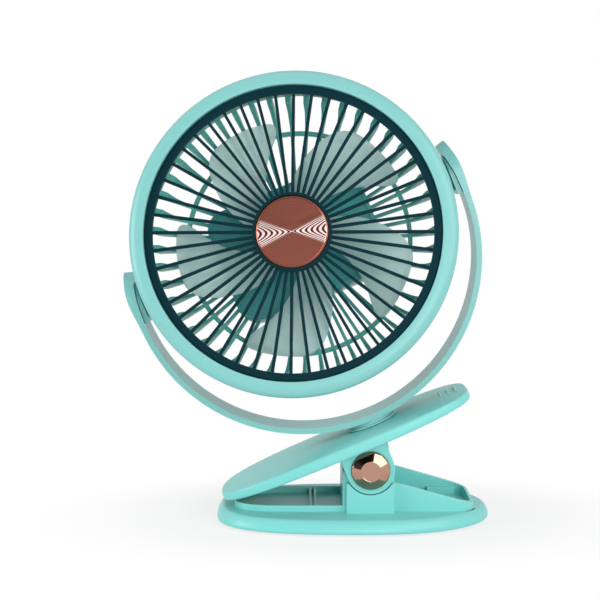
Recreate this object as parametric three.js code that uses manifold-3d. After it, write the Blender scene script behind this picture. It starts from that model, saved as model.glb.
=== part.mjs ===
// A rechargeable clip fan: an oval spring clip, a swivelling yoke, and a round head that tilts in it.
// Millimetres. +X is to the right, +Y away from the viewer, +Z up.
// The origin is on the surface that the fan stands on, below the middle of the whole fan's length and depth.
// Dimensions in X are given from the middle of the base, which is BASE_MIDDLE to the right of the origin.
import * as THREE from 'three';
import { mergeVertices } from 'three/addons/utils/BufferGeometryUtils.js';
import Module from 'manifold-3d';

const wasm = await Module();
wasm.setup();

// ---------------------------------------------------------------- driving dimensions
const GAP = 0.3;                    // clearance kept between pieces that touch
const FLATNESS = 0.02;              // how far a dropped corner may lie from the face left behind
const deg = Math.PI / 180;

const FOOT = { proud: 1.2, radius: 6, depth: 1 };
const BASE = { halfLength: 76.8, halfDepth: 49, bottom: FOOT.proud, top: 8.6, fullLeft: 2.9, fullRight: 2.1 };
const TRAY = { halfLength: 67, halfDepth: 25.5, wall: 2, floor: 7.9, rim: 11.8, fullness: 4 };
const RAMP = { fromX: 22, fromZ: 25.2, toX: 63.5, toZ: 13.4 };
const PIN = { x: 8.8, z: 32.6, radius: 2.6 };
const TOWER = {
  halfWidth: 13.2, outerY: 30, earThickness: 4, cheekInnerY: 21.4, cheekTop: 11.4, blockTop: 25,
};
const EAR_RADIUS = 13.4;
const CAP = { radius: 10.5, flat: 5.4, height: 4.7 };

const JAW_TILT = 22.5 * deg;        // the closed jaw's slope
const JAW = {
  centre: -8.3, halfLength: 75.3, halfDepth: 36, fullLeft: 2.9, fullRight: 3.4,
  under: 11.7, edge: 18, crown: 1.2, cellDepth: 4.2,
};
const JAW_TOP = JAW.edge + JAW.crown;
const PAD = { along: -64.6, halfLength: 12, halfDepth: 20, sink: 1.2, proud: 0.6 };
const SWIVEL = { along: 10.1, postRadius: 5, flange: 15, neck: 12.8, wellRadius: 9.5, wellTop: 15.7 };

const YOKE = { innerRadius: 95.2, drop: 9.4, thickness: 3.1, endThickness: 5.6, width: 27, endHeight: 17.5 };
const PIVOT_HEIGHT = 132;         // from the hinge pin to the head's pivot, square to the jaw
const PIVOT = { pinRadius: 3, pinFrom: 86.4, pinTo: 99, bossRadius: 9.5, bossEnd: 92, padHalf: 11.5 };
const HEAD_TILT = 12.6 * deg;
const BASE_MIDDLE = 25.97;

// The head's parts are turned about its own axis, which lies along Y. Its front is at -Y.
const HEAD = { radius: 90.5, widestY: -21, frontY: -25, backY: 5.5, wall: 2, flange: 79.4 };
const GRILLE = {
  rimOuter: 81.6, rimInner: 77.2, faceY: -23.4, depth: 3.4, spokes: 48, spoke: 1.7, hub: 21.9,
};
const DISC_RADIUS = 20;
const FAN = {
  hub: 17, tip: 67, tipCorner: 7, blades: 5, middleY: -4, halfAngle: 21.5, lean: -0.75, leanFrom: 33,
};
const GUARD = {
  hoopInner: 82, ringOuter: 65.2, ringInner: 62.6, ringY: 17.2, backY: 21, fins: 48, fin: 1.9,
};
const BOX = { halfWidth: 46, halfHeight: 33.5, corner: 11, frontY: 13, partY: 24, backY: 38, wall: 2 };
const BOARD_Y = 31.6;
const BUTTON = { z: 14, radius: 6, flange: 6.9, proud: 1 };
const LIGHT = { x: 13, radius: 1.5 };
const VENT = { z: -14, pitch: 3.4, halfWidth: 9, half: 0.8 };
const SOCKET = { halfWidth: 4.5, halfDepth: 1.65, y: BOARD_Y - GAP - 1.65, innerZ: 24, mouthZ: 33.2 };

// ---------------------------------------------------------------- solids
// A closed mesh as a solid that can be joined and cut.
function solid(geometry) {
  const bare = geometry.clone();
  for (const name of Object.keys(bare.attributes)) {
    if (name !== 'position') bare.deleteAttribute(name);
  }
  const merged = mergeVertices(bare, 1e-4);
  return new wasm.Manifold(new wasm.Mesh({
    numProp: 3,
    vertProperties: merged.attributes.position.array,
    triVerts: new Uint32Array(merged.index.array),
  }));
}

// A solid's skin, without the needless corners that joining and cutting leave in flat faces.
function geometryOf(body) {
  const mesh = body.asOriginal().simplify(FLATNESS).getMesh();
  const points = [];
  for (const vertex of mesh.triVerts) {
    for (let k = 0; k < 3; k += 1) points.push(mesh.vertProperties[vertex * mesh.numProp + k]);
  }
  const geometry = new THREE.BufferGeometry();
  geometry.setAttribute('position', new THREE.Float32BufferAttribute(points, 3));
  geometry.computeVertexNormals();
  return geometry;
}

const join = (first, ...others) => others.reduce((sum, other) => sum.add(other), first);
const cut = (first, ...others) => others.reduce((rest, other) => rest.subtract(other), first);

// A solid moved, and turned about X, then Y, then Z.
function placed(body, x = 0, y = 0, z = 0, turnX = 0, turnY = 0, turnZ = 0) {
  const matrix = new THREE.Matrix4().makeRotationFromEuler(new THREE.Euler(turnX, turnY, turnZ, 'ZYX'));
  matrix.setPosition(x, y, z);
  return body.transform(matrix.elements);
}

function block(x0, x1, y0, y1, z0, z1) {
  const box = new THREE.BoxGeometry(x1 - x0, y1 - y0, z1 - z0);
  box.translate((x0 + x1) / 2, (y0 + y1) / 2, (z0 + z1) / 2);
  return solid(box);
}

// The same solid with its faces pointing out, whichever way round its outline was drawn.
function facingOut(geometry) {
  const body = solid(geometry);
  if (body.volume() > 0) return body;
  const index = geometry.index.array;
  for (let i = 0; i < index.length; i += 3) [index[i + 1], index[i + 2]] = [index[i + 2], index[i + 1]];
  return solid(geometry);
}

// A solid of revolution about Y, from a profile of [radius, y] points that touches the axis or closes.
function turned(profile, segments = 36) {
  const outline = profile.map(([radius, y]) => new THREE.Vector2(radius, y));
  if (outline[0].x > 0 || outline[outline.length - 1].x > 0) outline.push(outline[0].clone());
  return facingOut(new THREE.LatheGeometry(outline, segments));
}

// The same, turned by half a facet, so that bars set out from the axis meet the middles of its facets.
function turnedBetween(profile, segments) {
  return placed(turned(profile, segments), 0, 0, 0, 0, Math.PI / segments);
}

// A cylinder along Y between two heights, or a tube when it has a bore.
function rod(radius, y0, y1, bore = 0, segments = 20) {
  const profile = [[bore, y0], [radius, y0], [radius, y1], [bore, y1]];
  return turned(profile, segments);
}

// A shape drawn in X and Z, given depth along Y from y0 to y1.
function slab(points, y0, y1) {
  const shape = new THREE.Shape(points.map(([x, z]) => new THREE.Vector2(x, z)));
  const plate = new THREE.ExtrudeGeometry(shape, { depth: y1 - y0, bevelEnabled: false });
  plate.rotateX(Math.PI / 2);
  plate.translate(0, y1, 0);
  return solid(plate);
}

// Rings of equal point counts, from the lowest to the highest, joined into one skin and capped.
function stacked(rings) {
  const count = rings[0].length;
  const vertices = rings.flat();
  const faces = [];
  for (let level = 0; level + 1 < rings.length; level += 1) {
    for (let i = 0; i < count; i += 1) {
      const a = level * count + i;
      const b = level * count + (i + 1) % count;
      faces.push(a, b, b + count, a, b + count, a + count);
    }
  }
  const last = (rings.length - 1) * count;
  for (let i = 1; i + 1 < count; i += 1) {
    faces.push(0, i + 1, i);
    faces.push(last, last + i, last + i + 1);
  }
  const geometry = new THREE.BufferGeometry();
  geometry.setAttribute('position', new THREE.Float32BufferAttribute(vertices.flat(), 3));
  geometry.setIndex(faces);
  return facingOut(geometry);
}

// An egg-like oval in X and Y. A larger fullness squares off that end.
function oval(halfLength, halfDepth, z, fullLeft, fullRight, count = 40) {
  const ring = [];
  for (let i = 0; i < count; i += 1) {
    const angle = (i / count) * 2 * Math.PI;
    const c = Math.cos(angle);
    const s = Math.sin(angle);
    const full = THREE.MathUtils.lerp(fullLeft, fullRight, (c + 1) / 2);
    const x = halfLength * Math.sign(c) * Math.abs(c) ** (2 / full);
    const y = halfDepth * Math.sign(s) * Math.abs(s) ** (2 / full);
    ring.push([x, y, z]);
  }
  return ring;
}

// A rectangle with round corners in X and Z, at depth y.
function roundedRing(halfWidth, halfHeight, corner, y, steps = 4) {
  const ring = [];
  const corners = [[1, 1, 0], [-1, 1, 90], [-1, -1, 180], [1, -1, 270]];
  for (const [sx, sz, start] of corners) {
    for (let i = 0; i <= steps; i += 1) {
      const angle = (start + (90 * i) / steps) * deg;
      const x = sx * (halfWidth - corner) + corner * Math.cos(angle);
      const z = sz * (halfHeight - corner) + corner * Math.sin(angle);
      ring.push([x, y, z]);
    }
  }
  return ring.reverse();
}

// Open moulding cells under a plate: a grid of pockets with ribs between, kept inside an outline.
function cells(inside, { x0, x1, y0, y1, z0, z1, pitchX, pitchY, rib, skip = () => false }) {
  const pockets = [];
  for (let x = x0; x + pitchX <= x1 + 0.01; x += pitchX) {
    for (let y = y0; y + pitchY <= y1 + 0.01; y += pitchY) {
      if (!skip(x + pitchX / 2, y + pitchY / 2)) {
        const [wideX, wideY] = [pitchX - rib / 2, pitchY - rib / 2];
        pockets.push(block(x + rib / 2, x + wideX, y + rib / 2, y + wideY, z0, z1));
      }
    }
  }
  return join(...pockets).intersect(inside);
}

const finish = (color, roughness, metalness) => new THREE.MeshStandardMaterial({ color, roughness, metalness });
const plastic = (color, roughness = 0.42) => finish(color, roughness, 0);
const metal = (color, roughness = 0.25) => finish(color, roughness, 1);
const MINT = 0x8cd7cf;
const TEAL = 0x14404d;
const BLADE = 0x9fb5ad;
const COPPER = 0xb07060;
const STEEL = 0xb8bcc0;
const RUBBER = 0x5f9a93;
const BLUE = 0x3a6ea5;
const GREEN = 0x1f5c3a;
const CLEAR = 0xe8f2ee;

function piece(name, body, material) {
  const mesh = new THREE.Mesh(geometryOf(body), material);
  mesh.name = name;
  return mesh;
}

// ---------------------------------------------------------------- clip base
const FEET = [
  ['left', 'front', -52, -24], ['left', 'back', -52, 24], ['right', 'front', 50, -22], ['right', 'back', 50, 22],
];

const baseLevel = (z, inset) => oval(
  BASE.halfLength - inset, BASE.halfDepth - inset, BASE.bottom + z, BASE.fullLeft, BASE.fullRight,
);
const wallLevel = (inset, z) => (
  oval(TRAY.halfLength - inset, TRAY.halfDepth - inset, z, TRAY.fullness, TRAY.fullness)
);

// The oval plate with its rounded rim, tray walls, ramp, hinge tower, and cells underneath.
function baseShell() {
  const rim = [[0, 0.6], [0.9, 0], [2.6, 0.2], [4.6, 0.9], [6.3, 2], [BASE.top - BASE.bottom, 3.6]];
  const plate = stacked(rim.map(([z, inset]) => baseLevel(z, inset)));
  const pocket = stacked([wallLevel(TRAY.wall, TRAY.floor), wallLevel(TRAY.wall, BASE.top + 0.5)]);
  const body = join(cut(plate, pocket), trayWalls(), ...trayRibs(), tower());

  const cellTop = BASE.bottom + 4.2;
  const inside = stacked([baseLevel(-1, 4), baseLevel(4.2, 5)]);
  const underCells = cells(inside, {
    x0: -73.5, x1: 73.5, y0: -45, y1: 45, z0: 0, z1: cellTop, pitchX: 24.5, pitchY: 22.5, rib: 1.6,
  });
  const upright = (body, x, y) => placed(body, x, y, 0, Math.PI / 2);
  const bosses = FEET.map(([, , x, y]) => upright(rod(FOOT.radius + 2, 0, cellTop + 1), x, y));
  const seats = FEET.map(([, , x, y]) => upright(rod(FOOT.radius + GAP, 0, BASE.bottom + FOOT.depth + GAP), x, y));
  return cut(body, cut(underCells, ...bosses), ...seats);
}

// The tray's thin wall: low on the left of the tower, a long ramp on its right.
function trayWalls() {
  const low = BASE.top - 1;
  const ring = cut(
    stacked([wallLevel(0, low), wallLevel(0, 40)]),
    stacked([wallLevel(TRAY.wall, low - 1), wallLevel(TRAY.wall, 41)]),
  );
  const slope = (RAMP.fromZ - RAMP.toZ) / (RAMP.toX - RAMP.fromX);
  const rightX = TRAY.halfLength + 3;
  const rightZ = RAMP.fromZ - slope * (rightX - RAMP.fromX);
  const stepX = PIN.x - TOWER.halfWidth;
  const leftX = -TRAY.halfLength - 3;
  const sideView = slab([
    [leftX, 0], [rightX, 0], [rightX, rightZ], [RAMP.fromX, RAMP.fromZ], [stepX, RAMP.fromZ],
    [stepX, TRAY.rim], [leftX, TRAY.rim],
  ], -BASE.halfDepth, BASE.halfDepth);
  return ring.intersect(sideView);
}

// A pair of thin ribs across the left of the tray, and a low ledge along each wall on its right.
function trayRibs() {
  const low = TRAY.floor - 1;
  const reach = TRAY.halfDepth - 1;
  const ribs = [-24.6, -22].map((x) => block(x, x + 1.2, -reach, reach, low, TRAY.rim - 0.8));
  const ledges = [-1, 1].map((side) => {
    const [near, far] = [side * reach, side * (reach - 5)].sort((p, q) => p - q);
    return block(45, 59, near, far, low, TRAY.floor + 3.2);
  });
  return [...ribs, ...ledges];
}

// The hinge tower: two cheeks that carry the pin, and a block whose outer faces cradle the ears.
function tower() {
  const { halfWidth: w, outerY, earThickness, cheekInnerY, cheekTop, blockTop } = TOWER;
  const cheekFace = outerY - earThickness - GAP;
  const low = BASE.top - 1.5;
  const shoulder = PIN.z + 2;
  const outline = [[PIN.x - w, low], [PIN.x + w, low], [PIN.x + w, shoulder]];
  for (let angle = 15; angle <= 165; angle += 15) {
    outline.push([PIN.x + cheekTop * Math.cos(angle * deg), PIN.z + cheekTop * Math.sin(angle * deg)]);
  }
  outline.push([PIN.x - w, shoulder]);
  const bothSides = (from, to, make) => [-1, 1].map((side) => {
    const [near, far] = [side * from, side * to].sort((p, q) => p - q);
    return make(near, far);
  });
  const cheeks = bothSides(cheekInnerY, cheekFace, (near, far) => slab(outline, near, far));
  const cradles = bothSides(cheekFace - 1, outerY, (near, far) => (
    block(PIN.x - w, PIN.x + w, near, far, low, blockTop)
  ));
  const leftEnd = block(PIN.x - w - 2, PIN.x - w + 0.4, -cheekFace, cheekFace, low, PIN.z - 1.4);
  const rightEnd = block(PIN.x + w - 2, PIN.x + w, -cheekFace, cheekFace, low, blockTop - 3);
  const earRoom = bothSides(cheekFace, outerY + 2, (near, far) => (
    placed(rod(EAR_RADIUS + 0.55, near, far, 0, 40), PIN.x, 0, PIN.z)
  ));
  const bore = placed(rod(PIN.radius + GAP, -outerY - 2, outerY + 2), PIN.x, 0, PIN.z);
  return cut(join(...cheeks, ...cradles, leftEnd, rightEnd), ...earRoom, bore);
}

function foot(x, y) {
  const { proud, radius, depth } = FOOT;
  const profile = [[0, 0], [radius - 1, 0], [radius, 0.8], [radius, proud + depth], [0, proud + depth]];
  return placed(turned(profile, 20), x, y, 0, Math.PI / 2);
}

// ---------------------------------------------------------------- hinge
const hingePin = () => placed(rod(PIN.radius, -TOWER.outerY - 0.9, TOWER.outerY + 0.9), PIN.x, 0, PIN.z);

// A polished cap with a broad cone and a flat middle, let into the ear's outer face.
function pinCap(side) {
  const { radius, flat, height } = CAP;
  const recess = PIN.radius + 2 * GAP;
  const body = turned([
    [0, 1.2], [recess, 1.2], [recess, -GAP], [radius - 0.3, -GAP], [radius, 0.2], [radius, 1.2],
    [radius - 0.7, 2], [flat, height], [0, height],
  ], 28);
  return placed(body, PIN.x, side * TOWER.outerY, PIN.z, side > 0 ? 0 : Math.PI);
}

// A torsion spring round the pin. Its tube runs on from one leg, through the turns, to the other leg.
function hingeSpring() {
  const wire = 0.9;
  const coil = 7;
  const turns = 5.6;
  const pitch = 3.2;
  const steps = 8;
  const sides = 5;
  const half = (turns * pitch) / 2;
  const path = [];
  const start = -50 * deg;
  const at = (angle, radius, y) => new THREE.Vector3(radius * Math.cos(angle), y, radius * Math.sin(angle));
  const leg = (angle, y, along, dir) => at(angle, coil, y)
    .add(new THREE.Vector3(-Math.sin(angle), 0, Math.cos(angle)).multiplyScalar(dir * along));
  path.push(leg(start, -half, 12, -1));
  path.push(leg(start, -half, 6, -1));
  const count = Math.round(turns * steps);
  for (let i = 0; i <= count; i += 1) {
    path.push(at(start + (i / steps) * 2 * Math.PI, coil, -half + (i / count) * 2 * half));
  }
  const end = start + (count / steps) * 2 * Math.PI;
  path.push(leg(end, half, 5, 1));
  const rings = path.map((point, i) => {
    const ahead = path[Math.min(i + 1, path.length - 1)];
    const behind = path[Math.max(i - 1, 0)];
    const along = ahead.clone().sub(behind).normalize();
    const across = new THREE.Vector3(0, 1, 0).addScaledVector(along, -along.y).normalize();
    const out = new THREE.Vector3().crossVectors(along, across);
    return Array.from({ length: sides }, (_, k) => {
      const angle = (k / sides) * 2 * Math.PI;
      const spot = point.clone().addScaledVector(across, wire * Math.cos(angle));
      return spot.addScaledVector(out, wire * Math.sin(angle)).toArray();
    });
  });
  const least = leastGap(path, wire);
  console.log(`hinge spring: least gap to itself ${least.toFixed(2)} mm`);
  return placed(stacked(rings), PIN.x, 0, PIN.z);
}

// The smallest clear distance between stretches of a tube that aren't next to each other.
function leastGap(path, radius) {
  const curve = new THREE.CatmullRomCurve3(path);
  const points = curve.getSpacedPoints(600);
  let least = Infinity;
  for (let i = 0; i < points.length; i += 1) {
    for (let j = i + 40; j < points.length; j += 1) {
      least = Math.min(least, points[i].distanceTo(points[j]) - 2 * radius);
    }
  }
  return least;
}

// ---------------------------------------------------------------- upper jaw, drawn level about the pin
// The plate's outline at a share of its edge's height, plus a share of its crown.
// The plate thins toward the gripping tip on the left and toward the thumb end on the right.
function jawLevel(share, inset, crown = 0) {
  const { centre, halfLength, halfDepth, fullLeft, fullRight, under, edge } = JAW;
  const ring = oval(halfLength - inset, halfDepth - inset, 0, fullLeft, fullRight);
  return ring.map(([x, y]) => {
    const left = Math.max(0, -x / halfLength) ** 2;
    const right = Math.max(0, x / halfLength) ** 2;
    const low = under + 1.6 * right;
    const high = edge - 1.4 * left;
    return [x + centre, y, THREE.MathUtils.lerp(low, high, share) + crown * JAW.crown * (1 - 0.6 * left)];
  });
}

// The long oval lever, with a crowned top, thumb ridges, two ears, a swivel bore, and cells underneath.
function upperJaw() {
  const { under } = JAW;
  const skin = [
    [0, 0.8, 0], [0.12, 0.2, 0], [0.4, 0, 0], [0.8, 0.4, 0], [1, 1.7, 0], [1, 7, 0.5], [1, 16, 0.85], [1, 28, 1],
  ];
  const plate = stacked(skin.map(([share, inset, crown]) => jawLevel(share, inset, crown)));
  const ridges = [51.4, 55.9, 60.4].map((x) => block(x - 0.6, x + 0.6, -6, 6, JAW_TOP - 2, JAW_TOP + 0.6));

  const earInner = TOWER.outerY - TOWER.earThickness;
  const outline = [[EAR_RADIUS, under + 3], [-EAR_RADIUS, under + 3]];
  for (let angle = 180; angle <= 360; angle += 12) {
    outline.push([EAR_RADIUS * Math.cos(angle * deg), EAR_RADIUS * Math.sin(angle * deg)]);
  }
  const ears = [slab(outline, -TOWER.outerY, -earInner), slab(outline, earInner, TOWER.outerY)];
  const pinBore = rod(PIN.radius + GAP, -JAW.halfDepth, JAW.halfDepth);
  const capSeat = rod(CAP.radius + GAP, TOWER.outerY - 0.6, JAW.halfDepth + 5, 0, 32);

  return cut(
    join(plate, ...ridges, ...ears),
    cut(jawCells(), ...earRoots(earInner)),
    stacked([padRing(0, under - 1), padRing(0, under + PAD.sink)]),
    placed(rod(SWIVEL.wellRadius, under - 1, SWIVEL.wellTop), SWIVEL.along, 0, 0, Math.PI / 2),
    placed(rod(SWIVEL.postRadius + GAP, under, JAW_TOP + 1), SWIVEL.along, 0, 0, Math.PI / 2),
    pinBore,
    capSeat,
    placed(capSeat, 0, 0, 0, Math.PI),
  );
}

// The moulding cells under the jaw, with none where the swivel's screw well is.
function jawCells() {
  const { centre, halfLength, under, cellDepth } = JAW;
  const level = (inset, z) => jawLevel(0, inset).map(([x, y]) => [x, y, z]);
  const inside = stacked([level(3.4, under - 1), level(4, under + cellDepth)]);
  return cells(inside, {
    x0: centre - 42, x1: centre + halfLength, y0: -30, y1: 30, z0: under - 1, z1: under + cellDepth,
    pitchX: 21, pitchY: 20, rib: 1.6, skip: (x, y) => Math.abs(x - SWIVEL.along) < 20 && Math.abs(y) < 12,
  });
}

// Solid stock left in the cells round the root of each ear.
function earRoots(earInner) {
  const { under } = JAW;
  return [-1, 1].map((side) => {
    const [near, far] = [side * (earInner - 1.2), side * (TOWER.outerY + 1.2)].sort((p, q) => p - q);
    return block(-EAR_RADIUS - 2, EAR_RADIUS + 2, near, far, under - 2, under + 6);
  });
}

// The outline of the rubber pad near the gripping tip.
function padRing(inset, z) {
  const ring = oval(PAD.halfLength - inset, PAD.halfDepth - inset, z, 3, 3, 32);
  return ring.map(([x, y, h]) => [x + PAD.along, y, h]);
}

// A ribbed rubber pad let into the jaw's underside.
function jawPad() {
  const face = JAW.under - PAD.proud;
  const pad = stacked([padRing(1.2, face), padRing(0.6, face + 0.4), padRing(GAP, JAW.under + PAD.sink - GAP)]);
  const grooves = [-8, -4, 0, 4, 8].map((x) => (
    block(PAD.along + x - 0.6, PAD.along + x + 0.6, -PAD.halfDepth, PAD.halfDepth, face - 1, face + 0.7)
  ));
  return cut(pad, ...grooves);
}

// ---------------------------------------------------------------- yoke, drawn about the head's pivot
const JAW_FACE = JAW_TOP - PIVOT_HEIGHT;        // the jaw's top as seen from the head's pivot
const upright = (body) => placed(body, 0, 0, 0, Math.PI / 2);
const toSide = (body, side) => placed(body, 0, 0, 0, 0, 0, -side * 90 * deg);

// The C-shaped band with thickened round ends, and the swivel boss and post below it.
function yoke() {
  const { innerRadius, drop, thickness, endThickness, width, endHeight } = YOKE;
  const reach = 90 + Math.asin((endHeight + drop + 1) / innerRadius) / deg;
  const steps = 42;
  const inner = [];
  const outer = [];
  for (let i = 0; i <= steps; i += 1) {
    const angle = THREE.MathUtils.lerp(-reach, reach, i / steps);
    const grown = THREE.MathUtils.smoothstep(Math.abs(angle), 85, 101);
    const radius = innerRadius + THREE.MathUtils.lerp(thickness, endThickness, grown);
    const direction = [Math.sin(angle * deg), -Math.cos(angle * deg)];
    inner.push([innerRadius * direction[0], innerRadius * direction[1] - drop]);
    outer.push([radius * direction[0], radius * direction[1] - drop]);
  }
  const band = slab([...inner, ...outer.reverse()], -width / 2, width / 2);

  const far = innerRadius + drop + 10;
  const sideOutline = [[-width / 2, -far], [width / 2, -far]];
  for (let angle = 0; angle <= 180; angle += 12) {
    sideOutline.push([(width / 2) * Math.cos(angle * deg), endHeight * Math.sin(angle * deg)]);
  }
  const sideView = placed(slab(sideOutline, -far, far), 0, 0, 0, 0, 0, Math.PI / 2);

  const bandFoot = -drop - innerRadius - thickness;
  const boss = upright(turned([
    [0, JAW_FACE + GAP], [SWIVEL.flange, JAW_FACE + GAP], [SWIVEL.flange, JAW_FACE + 1.2],
    [SWIVEL.flange - 0.8, JAW_FACE + 1.9], [SWIVEL.neck, JAW_FACE + 2.1], [SWIVEL.neck, bandFoot + 1.4],
    [0, bandFoot + 1.4],
  ], 32));
  const postEnd = SWIVEL.wellTop - PIVOT_HEIGHT;
  const post = upright(rod(SWIVEL.postRadius, postEnd, JAW_FACE + 2));
  const screwHole = upright(rod(1.6, postEnd - 1, JAW_FACE + 1.4, 0, 14));
  const pinHole = toSide(rod(PIVOT.pinRadius + GAP, -PIVOT.pinTo - 0.5, PIVOT.pinTo + 0.5), 1);
  return cut(join(band.intersect(sideView), boss, post), screwHole, pinHole);
}

// The washer and screw that hold the swivel post from inside the jaw.
const WASHER_TOP = SWIVEL.wellTop - PIVOT_HEIGHT - GAP;
const swivelWasher = () => upright(rod(8.6, WASHER_TOP - 1, WASHER_TOP, 1.7, 24));

function swivelScrew() {
  const seat = WASHER_TOP - 1 - GAP;
  const body = turned([
    [0, seat - 1.8], [2.6, seat - 1.8], [3.3, seat - 1], [3.3, seat], [1.3, seat], [1.3, seat + 4.6], [0, seat + 4.6],
  ], 14);
  return cut(upright(body), ...crossDrive(1.9, seat - 3, seat - 0.9).map(upright));
}

// The two crossed slots of a screw's head, along Y.
function crossDrive(reach, y0, y1) {
  return [block(-reach, reach, y0, y1, -0.35, 0.35), block(-0.35, 0.35, y0, y1, -reach, reach)];
}

// The friction pad between the yoke's arm and the head's boss: round above, square below.
function pivotPad(side) {
  const half = PIVOT.padHalf;
  const outline = [[-half, -half], [half, -half]];
  for (let angle = 0; angle <= 180; angle += 15) {
    outline.push([half * Math.cos(angle * deg), half * Math.sin(angle * deg)]);
  }
  const plate = placed(slab(outline, -105, -PIVOT.bossEnd - GAP), 0, 0, 0, 0, 0, Math.PI / 2);
  const arc = placed(rod(YOKE.innerRadius - GAP, -20, 20, 0, 144), 0, 0, -YOKE.drop);
  const bore = toSide(rod(PIVOT.pinRadius + GAP, -110, 0), -1);
  const body = cut(plate.intersect(arc), bore, placed(bore, 0, 0, 0, 0, 0, Math.PI));
  return side < 0 ? placed(body, 0, 0, 0, 0, 0, Math.PI) : body;
}

// ---------------------------------------------------------------- head
// The round shell round the grilles: a broad rolled front, a tapering skirt, and a boss at each pivot.
function headRing() {
  const { radius, frontY, widestY, backY, wall, flange } = HEAD;
  const seatY = GRILLE.faceY + GRILLE.depth + GAP;
  const mouth = GRILLE.rimOuter + GAP;
  const skirt = [[radius - 1.2, widestY + 8], [radius - 3.4, widestY + 21], [radius - 4.9, backY]];
  const outside = [
    [mouth, frontY + 0.6], [mouth + 1.4, frontY - 0.1], [radius - 4.1, frontY + 0.1], [radius - 1.3, frontY + 1.8],
    [radius, widestY], ...skirt,
  ];
  const inside = [...skirt.map(([r, y]) => [r - wall, y]).reverse(), [radius - 3.4, seatY + 1.8]];
  const shell = turned([[mouth, seatY], ...outside, ...inside, [flange, seatY + 1.8], [flange, seatY]], 64);
  const bosses = [-1, 1].map((side) => toSide(rod(PIVOT.bossRadius, 85.6, PIVOT.bossEnd, 0, 24), side));
  const bores = [-1, 1].map((side) => toSide(rod(PIVOT.pinRadius + GAP, 85, 100), side));
  return cut(join(shell, ...bosses), ...bores);
}

const pivotPin = (side) => toSide(rod(PIVOT.pinRadius, PIVOT.pinFrom, PIVOT.pinTo), side);

// The front grille: a flat rim, straight radial spokes, and a closed hub that carries the disc.
function frontGrille() {
  const { rimOuter, rimInner, faceY, depth, spokes, spoke, hub } = GRILLE;
  const back = faceY + depth;
  const seat = DISC_RADIUS + GAP;
  const rim = turnedBetween([
    [rimInner, back], [rimInner, faceY + 0.5], [rimInner + 0.5, faceY], [rimOuter - 0.5, faceY],
    [rimOuter, faceY + 0.5], [rimOuter, back],
  ], 96);
  const hubBody = turnedBetween([
    [0, back + 0.6], [0, faceY + 0.8], [seat, faceY + 0.8], [seat, faceY - 0.9],
    [hub - 0.3, faceY - 0.9], [hub, faceY - 0.4], [hub, back + 0.6],
  ], 48);
  const bar = block(hub - 1, rimInner + 1, faceY + 0.55, back - 0.2, -spoke / 2, spoke / 2);
  const bars = Array.from({ length: spokes }, (_, i) => placed(bar, 0, 0, 0, 0, (i / spokes) * 2 * Math.PI));
  return join(rim, hubBody, ...bars);
}

// The turned copper disc in the middle of the grille.
function centreDisc() {
  const y = GRILLE.faceY;
  const back = y + 0.8 - GAP;
  return turned([[0, back], [0, y - 1.1], [DISC_RADIUS - 1.4, y - 1], [DISC_RADIUS, y - 0.5], [DISC_RADIUS, back]], 40);
}

// One skewed petal: constant in angle, leaning back as it goes out, with rounded tip corners and a twist.
function blade() {
  const { hub, tip, tipCorner, middleY, halfAngle, lean, leanFrom } = FAN;
  const across = 5;
  const root = hub - 1.5;
  const radii = [root, 26, 39, 51, tip - tipCorner, tip - 2.6, tip];
  const skin = (face) => radii.map((radius) => {
    const cornerRise = Math.max(0, radius - (tip - tipCorner));
    const corner = tipCorner - Math.sqrt(tipCorner ** 2 - cornerRise ** 2);
    const half = halfAngle * deg - (0.8 * corner) / radius;
    const pitch = THREE.MathUtils.mapLinear(radius, root, tip, 34, 20) * deg;
    return Array.from({ length: across + 1 }, (_, j) => {
      const share = (j / across) * 2 - 1;
      const angle = lean * (radius - leanFrom) * deg + share * half;
      const sweep = radius * Math.sin(share * half) * Math.tan(pitch) * 0.55;
      const camber = 1.6 * (1 - share * share);
      const thick = 0.8 * (1 - 0.5 * share * share);
      return [radius * Math.cos(angle), middleY - sweep - camber - face * thick, radius * Math.sin(angle)];
    });
  });
  return loft(skin(1), skin(-1));
}

// Two grids of equal size as the front and back of one closed sheet.
function loft(front, back) {
  const rows = front.length;
  const columns = front[0].length;
  const size = rows * columns;
  const at = (sheet, i, j) => sheet * size + i * columns + j;
  const faces = [];
  const quad = (a, b, c, d) => faces.push(a, b, c, a, c, d);
  for (let i = 0; i + 1 < rows; i += 1) {
    for (let j = 0; j + 1 < columns; j += 1) {
      quad(at(0, i, j), at(0, i, j + 1), at(0, i + 1, j + 1), at(0, i + 1, j));
      quad(at(1, i, j), at(1, i + 1, j), at(1, i + 1, j + 1), at(1, i, j + 1));
    }
    quad(at(0, i, 0), at(0, i + 1, 0), at(1, i + 1, 0), at(1, i, 0));
    quad(at(0, i + 1, columns - 1), at(0, i, columns - 1), at(1, i, columns - 1), at(1, i + 1, columns - 1));
  }
  for (let j = 0; j + 1 < columns; j += 1) {
    quad(at(0, 0, j + 1), at(0, 0, j), at(1, 0, j), at(1, 0, j + 1));
    quad(at(0, rows - 1, j), at(0, rows - 1, j + 1), at(1, rows - 1, j + 1), at(1, rows - 1, j));
  }
  const geometry = new THREE.BufferGeometry();
  geometry.setAttribute('position', new THREE.Float32BufferAttribute([...front, ...back].flat(2), 3));
  geometry.setIndex(faces);
  return facingOut(geometry);
}

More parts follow.
